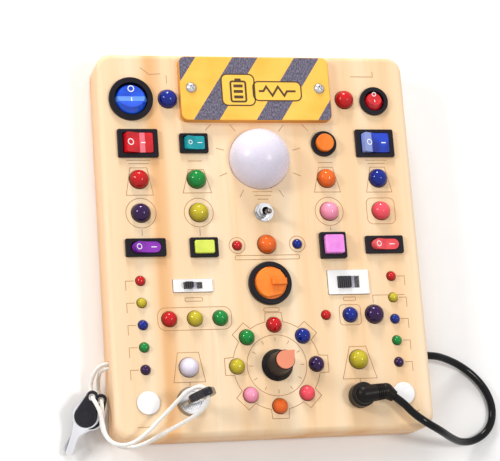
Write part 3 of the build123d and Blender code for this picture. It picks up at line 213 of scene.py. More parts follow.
# ---------------------------------------------------------------- materials
def pine():
    """Planed pine: glued staves along Y with darker bands, soft growth lines and fine pores; painted shade
    darkens its upright sides and its lowest 11 mm.
    """
    n = Nodes("pine")
    x, y, z = n.axes(n.at)
    drift = n.math("MULTIPLY_ADD", n.noise(9.0, 2.0, (1, 0.35, 1)), 0.02, x)
    bands = n.new("ShaderNodeCombineXYZ", X=drift, Z=n.math("MULTIPLY", z, 0.6))
    broad = n.new(
        "ShaderNodeTexNoise", Vector=bands.outputs[0], Scale=58.0, Detail=1.5, Roughness=0.4
    ).outputs["Fac"]
    narrow = n.new("ShaderNodeTexNoise", Vector=bands.outputs[0], Scale=420.0, Detail=2.0).outputs["Fac"]
    streak = n.noise(520.0, 3.0, (1, 0.03, 1))
    pale, warm, deep = linear("#FBE4C4"), linear("#F6D3A8"), linear("#E9B076")
    body = n.ramp(broad, (0.36, pale), (0.56, warm), (0.7, deep))
    body = n.mix(n.math("MULTIPLY", narrow, 0.22), body, warm)
    strong = n.ramp(streak, (0.52, BLACK), (0.8, WHITE))
    body = n.mix(n.math("MULTIPLY", strong, 0.25), body, deep)
    # Painted shade: upright sides are mixed towards a darker, warmer brown.
    side = n.math("SUBTRACT", 1.0, n.math("ABSOLUTE", n.normal_up()))
    body = n.mix(n.math("MULTIPLY", side, 0.45), body, linear("#E2A76C"))
    # Painted shade: darker and browner towards the bottom, over the lowest 11 mm.
    low = n.ramp(z, (0.0, grey(0.55)), (0.011, BLACK))
    n.set(Base_Color=n.mix(low, body, linear("#C98A50")))
    n.set(Roughness=n.math("MULTIPLY_ADD", streak, 0.14, 0.45), Specular_IOR_Level=0.15)
    n.bump(streak, 0.1, 0.00006)
    return n.material


STRIPE_AT = (-0.0405, 0.0628)   # a point on the first stripe's line, in metres
STRIPE_SLANT, STRIPE_PITCH = 0.667, 0.0334
STRIPE_START, STRIPE_END = 0.0062, 0.0199


def striped_cover():
    """Yellow board with slanted dark stripes printed on its top."""
    n = Nodes("cover_stripes")
    x, y, z = n.axes(n.at)
    lean = n.math("MULTIPLY", n.math("SUBTRACT", y, STRIPE_AT[1]), STRIPE_SLANT)
    across = n.math("SUBTRACT", n.math("SUBTRACT", x, STRIPE_AT[0]), lean)
    rough_edge = n.math("MULTIPLY_ADD", n.noise(900.0, 2.0), 0.0003, across)
    phase = n.math("WRAP", rough_edge, STRIPE_PITCH, 0.0)
    inside = n.between(phase, STRIPE_START, STRIPE_END)
    top = n.math("GREATER_THAN", n.normal_up(), 0.8)
    speckle = n.noise(1500.0, 2.0, (1, 0.5, 1), 0.7)
    dark = n.ramp(speckle, (0.4, linear("#3F3A4C")), (0.62, linear("#7A7488")))
    yellow = n.ramp(n.noise(70.0), (0.3, linear("#F9B93F")), (0.7, linear("#FFCB57")))
    edge = n.ramp(n.noise(160.0, 3.0, (0.3, 0.3, 2)), (0.3, linear("#C97F1E")), (0.7, linear("#E7A137")))
    face = n.mix(inside, yellow, dark)
    n.set(Base_Color=n.mix(top, edge, face), Roughness=n.math("MULTIPLY_ADD", speckle, 0.2, 0.42))
    n.bump(speckle, 0.15, 0.00005)
    return n.material


def milky():
    """Milky plastic of the bulb cover, with light spreading inside it."""
    n = Nodes("milky_dome")
    n.set(Base_Color=n.ramp(n.noise(30.0), (0.3, linear("#DFD8E8")), (0.7, linear("#E8E2EE"))))
    n.set(Roughness=n.math("MULTIPLY_ADD", n.noise(800.0), 0.08, 0.24), Subsurface_Weight=0.5)
    n.set(Subsurface_Radius=(0.006, 0.005, 0.006), Specular_IOR_Level=0.35)
    return n.material


def braided(name, code, spacing):
    """Braided cord: small raised cells, painted a little darker towards their edges as shade in the creases
    between them.
    """
    n = Nodes(name)
    base = linear(code)
    weave = n.new("ShaderNodeTexVoronoi", Vector=n.at, Scale=1 / spacing).outputs["Distance"]
    n.set(Base_Color=n.ramp(weave, (0.0, base), (0.8, shade(base, 0.84))), Roughness=0.85, Sheen_Weight=0.3)
    n.bump(weave, 0.5, 0.00015)
    return n.material


def touch_pad():
    """White pad whose upright rim is painted greyer, as painted shade."""
    n = Nodes("touch_pad")
    fine = n.noise(700.0, 2.0)
    face = n.ramp(fine, (0.3, linear("#F3F1F0")), (0.7, linear("#F9F8F7")))
    # Painted shade: upright faces of the rim are mixed towards grey.
    level = n.ramp(n.normal_up(), (0.3, BLACK), (0.9, WHITE))
    n.set(Base_Color=n.mix(level, linear("#A39A94"), face))
    n.set(Roughness=n.math("MULTIPLY_ADD", fine, 0.1, 0.36), Specular_IOR_Level=0.3)
    n.bump(fine, 0.1, 0.00004)
    return n.material


def slide_knob():
    """Black grip above the face, grey carriage below it."""
    n = Nodes("slide_knob")
    above = n.math("GREATER_THAN", n.axes(n.at)[2], (FACE - 0.1) * MM)
    fine = n.noise(900.0, 2.0)
    grip = n.ramp(fine, (0.3, linear("#131116")), (0.7, linear("#211E25")))
    carriage = n.ramp(fine, (0.3, linear("#A9A4B6")), (0.7, linear("#C4BFCE")))
    n.set(Base_Color=n.mix(above, carriage, grip), Roughness=n.math("MULTIPLY_ADD", fine, 0.15, 0.35))
    n.bump(fine, 0.15, 0.00004)
    return n.material


M = {
    "slide_knob": slide_knob(), "pine": pine(), "cover": striped_cover(), "dome": milky(),
    "pad": touch_pad(),
    "panel": moulded("back_plywood", "#D8B98C", 0.6, vary=0.2, grain=300.0, bump=0.3),
    "black": moulded("black_plastic", "#1E1B21", 0.4, bump=0.2, specular=0.12),
    "soft_black": moulded("black_moulding", "#161418", 0.4, bump=0.2, specular=0.14),
    "rubber": moulded("cable_jacket", "#08070A", 0.24, coat=0.3, vary=0.2, bump=0.08, specular=0.05),
    "relief": moulded("plug_moulding", "#17120F", 0.36, vary=0.3, bump=0.2, specular=0.14),
    "white": moulded("white_plastic", "#F4F2F1", 0.45, vary=0.03),
    "salmon": moulded("salmon_plastic", "#E98C69", 0.42, vary=0.06),
    "chrome": bright_metal("chrome_plate", "#F2F1F4", 0.2),
    "steel": bright_metal("zinc_steel", "#D2D0D2", 0.28, (1, 1, 0.2)),
    "key_plastic": moulded("key_plastic", "#201F27", 0.28, coat=0.3, bump=0.1, specular=0.12),
    "nickel": bright_metal("nickel_key", "#E2E2E6", 0.34, (1, 0.2, 1)),
    "brass": bright_metal("brass_key", "#D8BE86", 0.24, (1, 1, 0.2), 1.0),
    "lever": bright_metal("dark_lever", "#7D736C", 0.22),
    "pcb": moulded("circuit_board_resin", "#1F6B46", 0.35, coat=0.3, grain=400.0),
    "foil": bright_metal("cell_foil", "#A8A9AD", 0.3),
    "cord": braided("white_braid", "#FFFAF3", 0.0009),
    "print": moulded("white_print", "#FFFFFF", 0.45, vary=0.02),
    "ink": moulded("dark_ink", "#4B3418", 0.6, vary=0.15),
    "panel_yellow": moulded("yellow_print", "#FFC94F", 0.5, vary=0.04),
    "burn": moulded("burnt_line", "#B78A60", 0.85, vary=0.2, grain=1500.0),
}
# The paler strips on the blue round, red and blue rockers are painted reflections.
SWITCH = {
    "blue_round": gloss("blue_round_rocker", "#1D5EEA", "#1148CC", painted_reflection=(1, 73.4, 76.2, "#6FA4F5")),
    "red_round": gloss("red_round_rocker", "#E2252B", "#B9121C"),
    "red": gloss("red_rocker", "#E2131F", "#BE0A18", painted_reflection=(0, -62.9, -60.2, "#F58E9C")),
    "blue": gloss("blue_rocker", "#1B43C8", "#0B2284", painted_reflection=(0, 56.2, 61.3, "#A9BCF2")),
    "teal": gloss("teal_rocker", "#22A5AC", "#158F98", 0.3),
    "purple": gloss("purple_rocker", "#8E35B4", "#7425A0", 0.3),
    "coral": gloss("coral_rocker", "#F25F63", "#E2474F", 0.3),
    "orange": gloss("orange_button", "#F5872F", "#E8731D", 0.3),
    "lime": gloss("lime_button", "#DDE85E", "#C9D84A", 0.35),
    "pink": gloss("pink_button", "#F39BE8", "#E57FDC", 0.35),
}
NODE_MATERIAL = {
    "wooden_body": "pine", "back_panel": "panel", "cover_plate": "cover", "bulb_dome": "dome",
    "cover_screws": "steel", "battery_holder": "soft_black", "batteries": "foil", "battery_contacts": "steel",
    "circuit_boards": "pcb", "touch_pads": "pad", "terminals_and_leads": "steel", "button_springs": "steel",
    "toggle_body": "chrome", "toggle_lever": "lever", "panel_nuts": "chrome", "left_slide_frame": "white",
    "left_slide_knob": "slide_knob", "right_slide_frame": "white", "right_slide_knob": "slide_knob",
    "rotary_bezel": "black", "pot_case": "steel", "pot_knob": "soft_black", "pot_cap": "salmon",
    "lock_case": "chrome", "lock_cylinder": "chrome", "key_blade": "brass", "key_head": "key_plastic",
    "spare_key_blades": "nickel", "spare_key_heads": "key_plastic", "dc_jack": "black",
    "plug_barrel": "chrome", "plug_body": "relief", "cable_gland": "black", "wiring_loom": "soft_black",
}
ORANGE_KNOB = gloss("rotary_knob_plastic", "#FA8C2C", "#F07A1C", 0.3)


def dress(node, material):
    for slot in bpy.data.objects[node].material_slots:
        slot.material = material


for node_name, key in NODE_MATERIAL.items():
    dress(node_name, M[key])
for key in ("blue_round", "red_round", "red", "blue", "teal", "purple", "coral"):
    dress(key + "_rocker_housing", M["black"])
    dress(key + "_rocker", SWITCH[key])
for key in ("orange", "lime", "pink"):
    dress(key + "_button_housing", M["black"])
    dress(key + "_button", SWITCH[key])
dress("rotary_knob", ORANGE_KNOB)


# ---------------------------------------------------------------- mesh helpers
def piece(name, bm, material, body="board", smooth=True):
    mesh = bpy.data.meshes.new(name)
    bmesh.ops.recalc_face_normals(bm, faces=bm.faces)
    bm.to_mesh(mesh)
    bm.free()
    obj = bpy.data.objects.new(name, mesh)
    scene.collection.objects.link(obj)
    mesh.materials.append(material)
    for polygon in mesh.polygons:
        polygon.use_smooth = smooth
    if body:
        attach(obj, body)
    return obj


def polar(centre, radius, angle):
    return (centre[0] + radius * cos(angle), centre[1] + radius * sin(angle))


LATHE_SEGMENTS = 40


def lathe(bm, profile, at):
    """Turn a (radius, height) profile round an upright axis; both ends close on the axis."""
    rings = []
    for radius, height in profile:
        count = 1 if radius == 0 else LATHE_SEGMENTS
        spots = [polar(at, radius, 2 * pi * k / LATHE_SEGMENTS) for k in range(count)]
        rings.append([bm.verts.new((x * MM, y * MM, height * MM)) for x, y in spots])
    for low, high in zip(rings, rings[1:]):
        for k in range(LATHE_SEGMENTS):
            corners = [low[k % len(low)], low[(k + 1) % len(low)]]
            corners += [high[(k + 1) % len(high)], high[k % len(high)]]
            unique = []
            for v in corners:
                if v not in unique:
                    unique.append(v)
            if len(unique) > 2:
                bm.faces.new(unique)


def ribbon(bm, points, width, closed=False, place=None):
    """Flat strip along a line of (x, y) points in millimetres; place maps (x, y) to a point in metres."""
    place = place or (lambda x, y: Vector((x * MM, y * MM, (FACE + PRINT_LIFT) * MM)))
    spots = [Vector(p) for p in points]
    count = len(spots)
    sides = []
    for k, spot in enumerate(spots):
        before = spots[(k - 1) % count] if closed or k else None
        after = spots[(k + 1) % count] if closed or k < count - 1 else None
        ahead = (after - spot).normalized() if after is not None else None
        behind = (spot - before).normalized() if before is not None else None
        along = (ahead or behind) if ahead is None or behind is None else (ahead + behind)
        along = along.normalized() if along.length > 1e-6 else ahead
        stretch = 1.0
        if ahead is not None and behind is not None:
            stretch = 1 / max(0.5, along.dot(ahead))
        side = Vector((-along.y, along.x)) * width / 2 * stretch
        sides.append((bm.verts.new(place(*(spot + side))), bm.verts.new(place(*(spot - side)))))
    pairs = list(zip(sides, sides[1:])) + ([(sides[-1], sides[0])] if closed else [])
    for a, b in pairs:
        bm.faces.new((a[0], a[1], b[1], b[0]))


def circle(x, y, radius, steps=32):
    return [polar((x, y), radius, radians(360 * k / steps)) for k in range(steps)]


# ---------------------------------------------------------------- lamps
COLOURS = {
    "red": "#B8070C", "blue": "#021C7C", "green": "#067C31", "yellow": "#B6A620", "orange": "#E06016",
    "purple": "#2A0540", "pink": "#F28CA8", "coral": "#EC4A58", "lilac": "#D9D2E2",
}
# Places (x, y) of the 10, 8 and 5 mm lamps, in millimetres
BIG = [
    (-46.5, 75.5, "blue"), (49.0, 75.6, "red"), (-64.0, 32.5, "red"), (-34.0, 32.5, "green"),
    (35.6, 32.5, "orange"), (63.9, 32.5, "blue"), (-64.0, 14.8, "purple"), (-34.0, 14.8, "yellow"),
    (35.6, 14.8, "pink"), (63.9, 14.8, "coral"), (0.7, -2.4, "orange"), (-44.4, -64.9, "lilac"),
    (44.6, -63.5, "yellow"), (55.2, -40.2, "purple"),
]
DIAL = (1.2, -65.2)         # centre of the dial, with a ring of lamps round it
RING_R = 20.8
STRIP_Y, STRIP_STEP = -20.3, 11.3   # first lamp of the strips at both edges, and their spacing
RING = ["purple", "blue", "red", "green", "yellow", "pink", "orange", "coral"]
MIDDLE = [(-52.8, -40.2, "red"), (-39.6, -40.2, "yellow"), (-26.5, -40.2, "green"), (42.2, -40.2, "blue")]
MIDDLE += [polar(DIAL, RING_R, k * pi / 4) + (colour,) for k, colour in enumerate(RING)]
STRIP = ["red", "yellow", "blue", "green", "purple"]
SMALL = [(x, STRIP_Y - STRIP_STEP * k, colour) for x in (-66.4, 66.2) for k, colour in enumerate(STRIP)]
SMALL += [(-15.1, -2.8, "red"), (16.9, -2.4, "blue"), (29.2, -40.0, "red")]


FOOT_Z, FLANGE_TOP, FLANGE_W = 17.5, 19.0, 0.6   # flange at a lens's foot, inside the wood
NECK_DROP = 0.4     # a ring this far below the face keeps the neck straight
DOME_STEPS = 12


def lamps(node, label, radius, places):
    """Lenses of one size, one piece for each colour."""
    for colour, code in COLOURS.items():
        spots = [(x, y) for x, y, c in places if c == colour]
        if not spots:
            continue
        bm = bmesh.new()
        rim = radius + FLANGE_W
        profile = [(0, FOOT_Z), (rim, FOOT_Z), (rim, FLANGE_TOP), (radius, FLANGE_TOP)]
        profile += [(radius, FACE - NECK_DROP), (radius, FACE)]
        profile += [polar((0, FACE), radius, pi / 2 * k / DOME_STEPS) for k in range(1, DOME_STEPS)]
        for spot in spots:
            lathe(bm, profile + [(0, FACE + radius)], spot)
        obj = piece(f"{label}_{colour}", bm, lens(f"lens_{label}_{colour}", code, FACE + radius))
        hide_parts(node)


lamps("leds_10mm", "lamp10", 5.0, BIG)
lamps("leds_8mm", "lamp8", 4.0, MIDDLE)
lamps("leds_5mm", "lamp5", 2.5, SMALL)


# ---------------------------------------------------------------- marks on the rockers
ROCKER_SLOPE = radians(10)   # of each half of the V-shaped top, and of the rocker at rest
PIVOT_DROP = 1.0             # pivot below the face
VALLEY_RISE = 3.3            # middle of the top above the pivot
MARK_LIFT = 0.04
ROCKERS = {                  # place (x, y) and turn in degrees
    "blue_round": (-65.9, 75.2, 90), "red_round": (65.2, 74.7, 90), "red": (-63.7, 51.4, 0),
    "blue": (63.4, 51.4, 0), "teal": (-34.4, 51.4, 0), "purple": (-62.8, -3.4, 0), "coral": (63.8, -3.6, 0),
}


def on_rocker(key):
    """Maps a point on a rocker's V-shaped top, level and unturned, to its place at rest."""
    x, y, turn = ROCKERS[key]
    pivot = Matrix.Translation((x * MM, y * MM, (FACE - PIVOT_DROP) * MM))
    at = pivot @ Matrix.Rotation(radians(turn), 4, "Z") @ Matrix.Rotation(ROCKER_SLOPE, 4, "Y")
    rise = tan(ROCKER_SLOPE)
    return lambda u, v: at @ Vector((u * MM, v * MM, (VALLEY_RISE + abs(u) * rise + MARK_LIFT) * MM))


def rocker_marks(key, off_at, on_at, ring, bar, width):
    """A ring and a bar of the given sizes, at these distances from the rocker's middle."""
    bm = bmesh.new()
    ribbon(bm, circle(off_at, 0, ring), width, True, on_rocker(key))
    half = bar / 2
    ribbon(bm, [(on_at - half, 0), (on_at, 0), (on_at + half, 0)], width, False, on_rocker(key))
    obj = piece(key + "_marks", bm, M["print"], key + "_rocker", False)


rocker_marks("blue_round", 4.4, -1.4, 1.5, 2.2, 0.45)
rocker_marks("red_round", 2.9, -0.9, 1.0, 1.6, 0.35)
rocker_marks("red", -4.9, 2.0, 1.5, 2.2, 0.5)
rocker_marks("blue", -4.3, 4.0, 1.4, 2.4, 0.5)
rocker_marks("teal", -2.9, 2.3, 1.0, 2.4, 0.35)
rocker_marks("purple", -4.5, 3.4, 1.3, 2.8, 0.4)
rocker_marks("coral", -4.5, 3.2, 1.3, 2.8, 0.4)


# ---------------------------------------------------------------- printed panel on the cover
FRAME_LIFT, FILL_LIFT, CELL_LIFT = 0.06, 0.08, 0.09     # layers of the print above the cover
FRAME_W = 0.7
CELL_FRAME = (-9.5, 79.5, 17.6, 17.0, 3.0)              # x, y, width, height and corner radius
WAVE_FRAME = (11.5, 78.9, 26.0, 10.4, 3.0)


def on_cover(lift):
    return lambda x, y: Vector((x * MM, y * MM, (COVER_TOP + lift) * MM))


def rounded(cx, cy, w, h, r, steps=5):
    """Outline of a rectangle with rounded corners."""
    x, y = w / 2 - r, h / 2 - r
    corners = [(x, y, 0), (-x, y, 90), (-x, -y, 180), (x, -y, 270)]
    return [
        polar((cx + x, cy + y), r, radians(a + 90 * k / steps))
        for x, y, a in corners for k in range(steps + 1)
    ]


def filled(bm, outline, place):
    bm.faces.new([bm.verts.new(place(x, y)) for x, y in outline])


bm = bmesh.new()
for frame_box in (CELL_FRAME, WAVE_FRAME):
    filled(bm, rounded(*frame_box), on_cover(PRINT_LIFT))
obj = piece("cover_print_panel", bm, M["panel_yellow"], smooth=False)
bm = bmesh.new()
for frame_box in (CELL_FRAME, WAVE_FRAME):
    ribbon(bm, rounded(*frame_box), FRAME_W, True, on_cover(FRAME_LIFT))
ribbon(bm, rounded(-9.5, 78.6, 8.0, 11.0, 1.0), 1.0, True, on_cover(CELL_LIFT))
filled(bm, rounded(-9.5, 85.0, 3.4, 1.4, 0.3), on_cover(FILL_LIFT))
for bar in range(3):
    filled(bm, rounded(-9.5, 75.6 + 3.0 * bar, 5.0, 1.6, 0.3), on_cover(FILL_LIFT))
wave = [
    (1.5, 78.9), (4.0, 78.9), (5.6, 81.4), (8.8, 76.4), (12.0, 81.4), (15.2, 76.4), (16.8, 78.9),
    (21.5, 78.9),
]
ribbon(bm, wave, 1.1, False, on_cover(FILL_LIFT))
obj = piece("cover_print_lines", bm, M["ink"], smooth=False)


# ---------------------------------------------------------------- lines burnt into the wood, and painted shadow round the slide plates
def gear(centre, inner, outer, teeth):
    """Outline of a toothed ring; each corner lies at a share of the pitch from the middle of its tooth."""
    corners = [(-0.26, inner), (-0.2, outer), (0.2, outer), (0.26, inner)]
    corners += [(0.38, inner), (0.5, inner), (0.62, inner)]
    return [
        polar(centre, radius, 2 * pi * (k + share) / teeth) for k in range(teeth) for share, radius in corners
    ]


BURN_W, PLATE_SHADOW_W = 0.34, 0.3            # widths of the lines
TICK_IN, TICK_OUT, TICKS = 12.4, 14.4, 12   # marks round the dial
DOME = (0, 43)                              # centre of the bulb cover, with rays round it
RAY_IN, RAY_OUT, RAY_START, RAY_STEP, RAYS = 19.0, 23.5, -60, 37.5, 9
COVER_FROM, COVER_TO = 60, 120              # no rays at these angles, where the cover plate lies
# Dark lines round the two slide plates: painted shadow in the gap at their edges.
bm = bmesh.new()
ribbon(bm, rounded(-39.7, -23.3, 20.5, 6.8, 0.5), PLATE_SHADOW_W, True)
ribbon(bm, rounded(42.5, -23.1, 22.0, 12.9, 0.5), PLATE_SHADOW_W, True)
obj = piece("slide_plate_shadow_lines", bm, M["ink"], smooth=False)
bm = bmesh.new()
closed_lines = [
    gear(DIAL, 22.8, 27.4, 8), circle(*DIAL, 15.6, steps=64),
    rounded(0.5, -9.2, 34.0, 2.2, 0.6), rounded(0.5, -36.6, 8.0, 2.0, 0.6),
    [(-71, 24.2), (-57, 24.2), (-59.6, 38.6), (-68.4, 38.6)],
    [(-41.5, 25.2), (-26.5, 25.2), (-30.0, 37.6), (-38.0, 37.6)],
    [(28.5, 25.2), (42.7, 25.2), (39.4, 38.6), (31.8, 38.6)],
    [(57.0, 25.0), (71.0, 25.0), (68.0, 38.6), (60.0, 38.6)],
    [(-52.5, -72.4), (-36.3, -72.4), (-39.0, -57.4), (-49.8, -57.4)],
    [(35.5, -73.4), (53.7, -73.4), (49.0, -56.8), (40.2, -56.8)],
    rounded(-39.6, -30.4, 9.0, 1.8, 0.5), rounded(42.5, -31.8, 6.6, 1.8, 0.5),
    rounded(-39.7, -40.2, 38.0, 11.6, 4.0), rounded(42.2, -40.2, 11.4, 10.6, 2.0),
    circle(16.9, -2.4, 4.2), circle(-15.1, -2.8, 4.2), circle(35.6, 14.8, 7.6), circle(-34.0, 14.8, 7.6),
    rounded(63.9, 14.8, 15.4, 14.0, 3.0), circle(-64.0, 14.8, 7.8),
]
for outline in closed_lines:
    ribbon(bm, outline, BURN_W, True)
open_lines = [
    [(-60, 92.5), (-55.5, 88.8), (-49.5, 89.2)], [(-46.5, 88.4), (-46.5, 84.0)],
    [(53.5, 88.6), (66, 88.6), (66, 91.5)], [(-5.0, 27.6), (5.8, 27.6)], [(-5.0, 25.6), (5.8, 25.6)],
    [(-4.2, 23.6), (5.0, 23.6)], [(-2.4, 21.6), (3.2, 21.6)], [(-70, 42.6), (-57.4, 42.6)],
    [(-69, 40.8), (-58.4, 40.8)], [(57.6, 42.4), (69.6, 42.4)], [(59, 40.6), (68.4, 40.6)],
    [(-38, 42.2), (-30.6, 42.2)], [(31.6, 41.2), (39.6, 41.2)], [(-27.6, 58.6), (-24.5, 62)],
    [(27.6, 58.6), (24.5, 62)], [(0.5, -11.2), (0.5, -12.0)], [(-34.0, 6.6), (-34.0, 2.6)],
    [(35.6, 6.6), (35.6, 4.6)], [(-64.0, 6.4), (-64.0, 3.0)],
    [(55.2, -34.2), (55.2, -30.2), (72.6, -30.2)], [(44.6, -73.4), (44.6, -75.6)],
    [(-44.4, -72.4), (-44.4, -74.2)], [(75, -90.5), (70.6, -93.0), (72.8, -95.2)],
    [(-72, -94), (-66, -94), (-62, -91.4)],
]
for k in range(len(STRIP)):     # a bracket beside each lamp of the strips
    y = STRIP_Y - STRIP_STEP * k
    open_lines.append([(69.6, y), (73.4, y), (73.4, y - 5.0)])
    open_lines.append([(-69.8, y), (-74.0, y), (-74.0, y - 5.0)])
for k in range(RAYS):
    angle = RAY_START + RAY_STEP * k
    if not COVER_FROM < angle % 360 < COVER_TO:
        open_lines.append([polar(DOME, radius, radians(angle)) for radius in (RAY_IN, RAY_OUT)])
for k in range(TICKS):
    open_lines.append([polar(DIAL, radius, radians(360 * k / TICKS)) for radius in (TICK_IN, TICK_OUT)])
for outline in open_lines:
    ribbon(bm, outline, BURN_W)
obj = piece("burnt_lines", bm, M["burn"], smooth=False)


# ---------------------------------------------------------------- cords
def smooth_path(name, points):
    """Points along the smooth line that a cord's route controls, in metres."""
    curve = bpy.data.curves.new(name, "CURVE")
    curve.dimensions = "3D"
    spline = curve.splines.new("NURBS")
    spline.points.add(len(points) - 1)
    for spot, point in zip(spline.points, points):
        spot.co = (point[0] * MM, point[1] * MM, point[2] * MM, 1.0)
    spline.order_u = 3
    spline.use_endpoint_u = True
    spline.resolution_u = 14
    holder = bpy.data.objects.new(name, curve)
    scene.collection.objects.link(holder)
    bpy.context.view_layer.update()
    mesh = bpy.data.meshes.new_from_object(holder.evaluated_get(bpy.context.evaluated_depsgraph_get()))
    path = [v.co.copy() for v in mesh.vertices]
    bpy.data.objects.remove(holder)
    bpy.data.meshes.remove(mesh)
    return path


def tube(name, path, radius, material, segments=18):
    """Round tube along a path in metres; the radius is in millimetres."""
    bm = bmesh.new()
    turns = [2 * pi * k / segments for k in range(segments)]
    side = Vector((0, 0, 1))
    rings = []
    for k, spot in enumerate(path):
        along = (path[min(k + 1, len(path) - 1)] - path[max(k - 1, 0)]).normalized()
        side = (side - along * side.dot(along)).normalized()
        other = along.cross(side)
        rings.append([bm.verts.new(spot + (side * cos(a) + other * sin(a)) * radius * MM) for a in turns])
    for a, b in zip(rings, rings[1:]):
        for s in range(segments):
            bm.faces.new((a[s], a[(s + 1) % segments], b[(s + 1) % segments], b[s]))
    bm.faces.new(rings[0])
    bm.faces.new(rings[-1])
    return piece(name, bm, material, None)


# Control points of both cords, the same as in the part's source
CABLE = [
    (80.5, -60.5, 12.0), (89.0, -60.5, 12.0), (98.0, -61.6, 7.0), (107.8, -65.0, 2.7),
    (116.4, -71.8, 2.1), (122.4, -81.0, 2.1), (124.0, -91.0, 2.1), (120.4, -100.0, 2.1),
    (111.6, -105.4, 2.8), (101.6, -106.4, 8.4), (92.4, -104.8, 18.4), (84.0, -102.2, 27.6),
    (76.0, -98.8, 31.8), (68.9, -93.4, 31.4), (63.63, -86.98, 30.6), (59.69, -84.23, 30.6),
]
LANYARD = [
    (-78.8, -59.65, 12.0), (-87.0, -59.65, 12.0), (-90.6, -65.6, 7.6), (-91.4, -70.6, 5.2),
    (-91.5, -75.2, 7.2), (-92.3, -77.4, 16.2), (-89.6, -83.6, 18.6), (-88.2, -90.4, 17.8),
    (-87.6, -97.2, 20.2), (-84.0, -102.4, 26.2), (-77.6, -103.4, 32.0), (-70.4, -99.0, 33.6),
    (-62.6, -91.8, 33.8), (-55.6, -85.0, 36.9), (-50.0, -79.4, 42.0), (-43.4, -77.6, 49.8),
    (-41.0, -85.2, 49.8), (-44.4, -90.3, 43.0), (-52.0, -94.2, 35.4), (-60.8, -98.2, 30.4),
    (-69.2, -102.6, 28.6), (-77.0, -104.4, 25.4), (-83.4, -101.4, 19.4), (-87.2, -95.2, 13.6),
    (-88.2, -88.9, 12.6), (-87.8, -83.6, 16.2), (-87.5, -78.9, 13.4), (-86.75, -76.6, 4.2),
    (-86.9, -71.2, 2.6), (-87.2, -65.8, 5.4), (-86.4, -62.05, 12.0), (-78.8, -62.05, 12.0),
]
CABLE_R, LANYARD_R = 2.0, 1.0
cable_path = smooth_path("cable_route", CABLE)
cable = tube("plug_cable", cable_path, CABLE_R, M["rubber"], 24)
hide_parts("dc_cable")
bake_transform(cable)
cord_path = smooth_path("key_cord_route", LANYARD)
cord = tube("key_cord", cord_path, LANYARD_R, M["cord"])
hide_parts("lanyard")
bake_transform(cord)


# ---------------------------------------------------------------- springs under the push buttons
SPRING_LOW, SPRING_HIGH, SPRING_R, WIRE_R = 15.0, 21.7, 1.8, 0.25
SPRING_TURNS, TURN_STEPS = 5, 24
BUTTONS = (("orange", 35.4, 51.1), ("lime", -32.6, -3.7), ("pink", 35.7, -3.7))
for key, x, y in BUTTONS:
    coil = []
    steps = SPRING_TURNS * TURN_STEPS
    for k in range(steps + 1):
        height = SPRING_LOW + WIRE_R + (SPRING_HIGH - SPRING_LOW - 2 * WIRE_R) * k / steps
        coil.append(Vector((*polar((x, y), SPRING_R, 2 * pi * k / TURN_STEPS), height)) * MM)
    spring = tube(key + "_spring", coil, WIRE_R, M["steel"], 8)
    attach(spring, "board")
    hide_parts("button_springs")
    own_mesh(spring)


# ---------------------------------------------------------------- stage, light and camera
FLOOR_SIZE = 3.0    # metres
floor_mesh = bpy.data.meshes.new("floor")
floor_bm = bmesh.new()
bmesh.ops.create_grid(floor_bm, x_segments=4, y_segments=4, size=FLOOR_SIZE)
floor_bm.to_mesh(floor_mesh)
floor_bm.free()
floor = bpy.data.objects.new("floor", floor_mesh)
scene.collection.objects.link(floor)
floor_mesh.materials.append(moulded("pale_floor", "#FDFCFB", 0.7, vary=0.01, grain=40.0, bump=0.0))

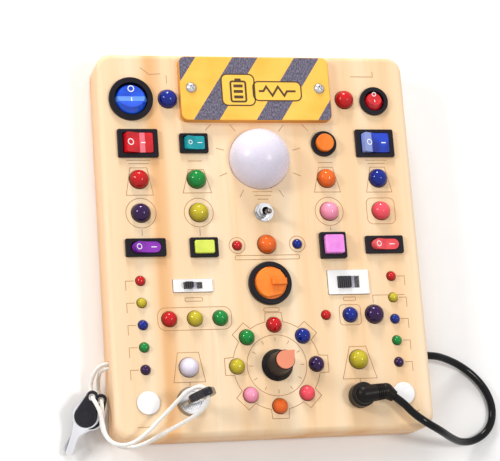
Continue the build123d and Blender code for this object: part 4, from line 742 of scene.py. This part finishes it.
RIGHT = Vector((0.9678, -0.0719, 0.2411))   # the camera's own axes
UP = Vector((0.0118, 0.9702, 0.2420))
BACK = Vector((-0.2513, -0.2314, 0.9398))
CAMERA_AT = (-0.2394, -0.2083, 0.8905)
camera = bpy.data.objects.new("camera", bpy.data.cameras.new("camera"))
scene.collection.objects.link(camera)
turn = Matrix((RIGHT, UP, BACK)).transposed().to_4x4()
camera.matrix_world = Matrix.Translation(CAMERA_AT) @ turn
camera.data.lens = 129.4
camera.data.sensor_width = 36.0
camera.data.clip_end = 20.0
scene.camera = camera


LIGHT_DISTANCE = 1.4


def soft_light(name, across, up, back, size, power):
    """Square lamp seen from the board in this direction of the camera's own axes."""
    towards = (RIGHT * across + UP * up + BACK * back).normalized()
    data = bpy.data.lights.new(name, "AREA")
    data.size = size
    data.energy = power
    obj = bpy.data.objects.new(name, data)
    scene.collection.objects.link(obj)
    obj.location = towards * LIGHT_DISTANCE
    obj.rotation_euler = towards.to_track_quat("Z", "Y").to_euler()


soft_light("top_light", -0.06, 0.99, 0.16, 0.36, 11.4)
soft_light("left_light", -0.675, 0.378, 0.62, 0.3, 6.8)
soft_light("right_light", 0.62, 0.12, 0.775, 0.25, 5.2)

# The background is white to the camera and in gloss and glass; as a light it is dimmer
BACKDROP, FILL = 1.0, 0.5
world = bpy.data.worlds.new("studio")
scene.world = world
world.use_nodes = True
tree = world.node_tree
tree.nodes.clear()


def backdrop(colour, strength):
    shader = tree.nodes.new("ShaderNodeBackground")
    shader.inputs["Color"].default_value = colour + (1.0,)
    shader.inputs["Strength"].default_value = strength
    return shader.outputs[0]


def larger(a, b):
    node = tree.nodes.new("ShaderNodeMath")
    node.operation = "MAXIMUM"
    tree.links.new(a, node.inputs[0])
    tree.links.new(b, node.inputs[1])
    return node.outputs[0]


rays = tree.nodes.new("ShaderNodeLightPath").outputs
shows_backdrop = larger(larger(rays["Is Camera Ray"], rays["Is Glossy Ray"]), rays["Is Transmission Ray"])
choose = tree.nodes.new("ShaderNodeMixShader")
tree.links.new(shows_backdrop, choose.inputs[0])
tree.links.new(backdrop((1.0, 0.99, 0.985), FILL), choose.inputs[1])
tree.links.new(backdrop((1.0, 1.0, 1.0), BACKDROP), choose.inputs[2])
out = tree.nodes.new("ShaderNodeOutputWorld")
tree.links.new(choose.outputs[0], out.inputs["Surface"])
scene.view_settings.view_transform = "Standard"
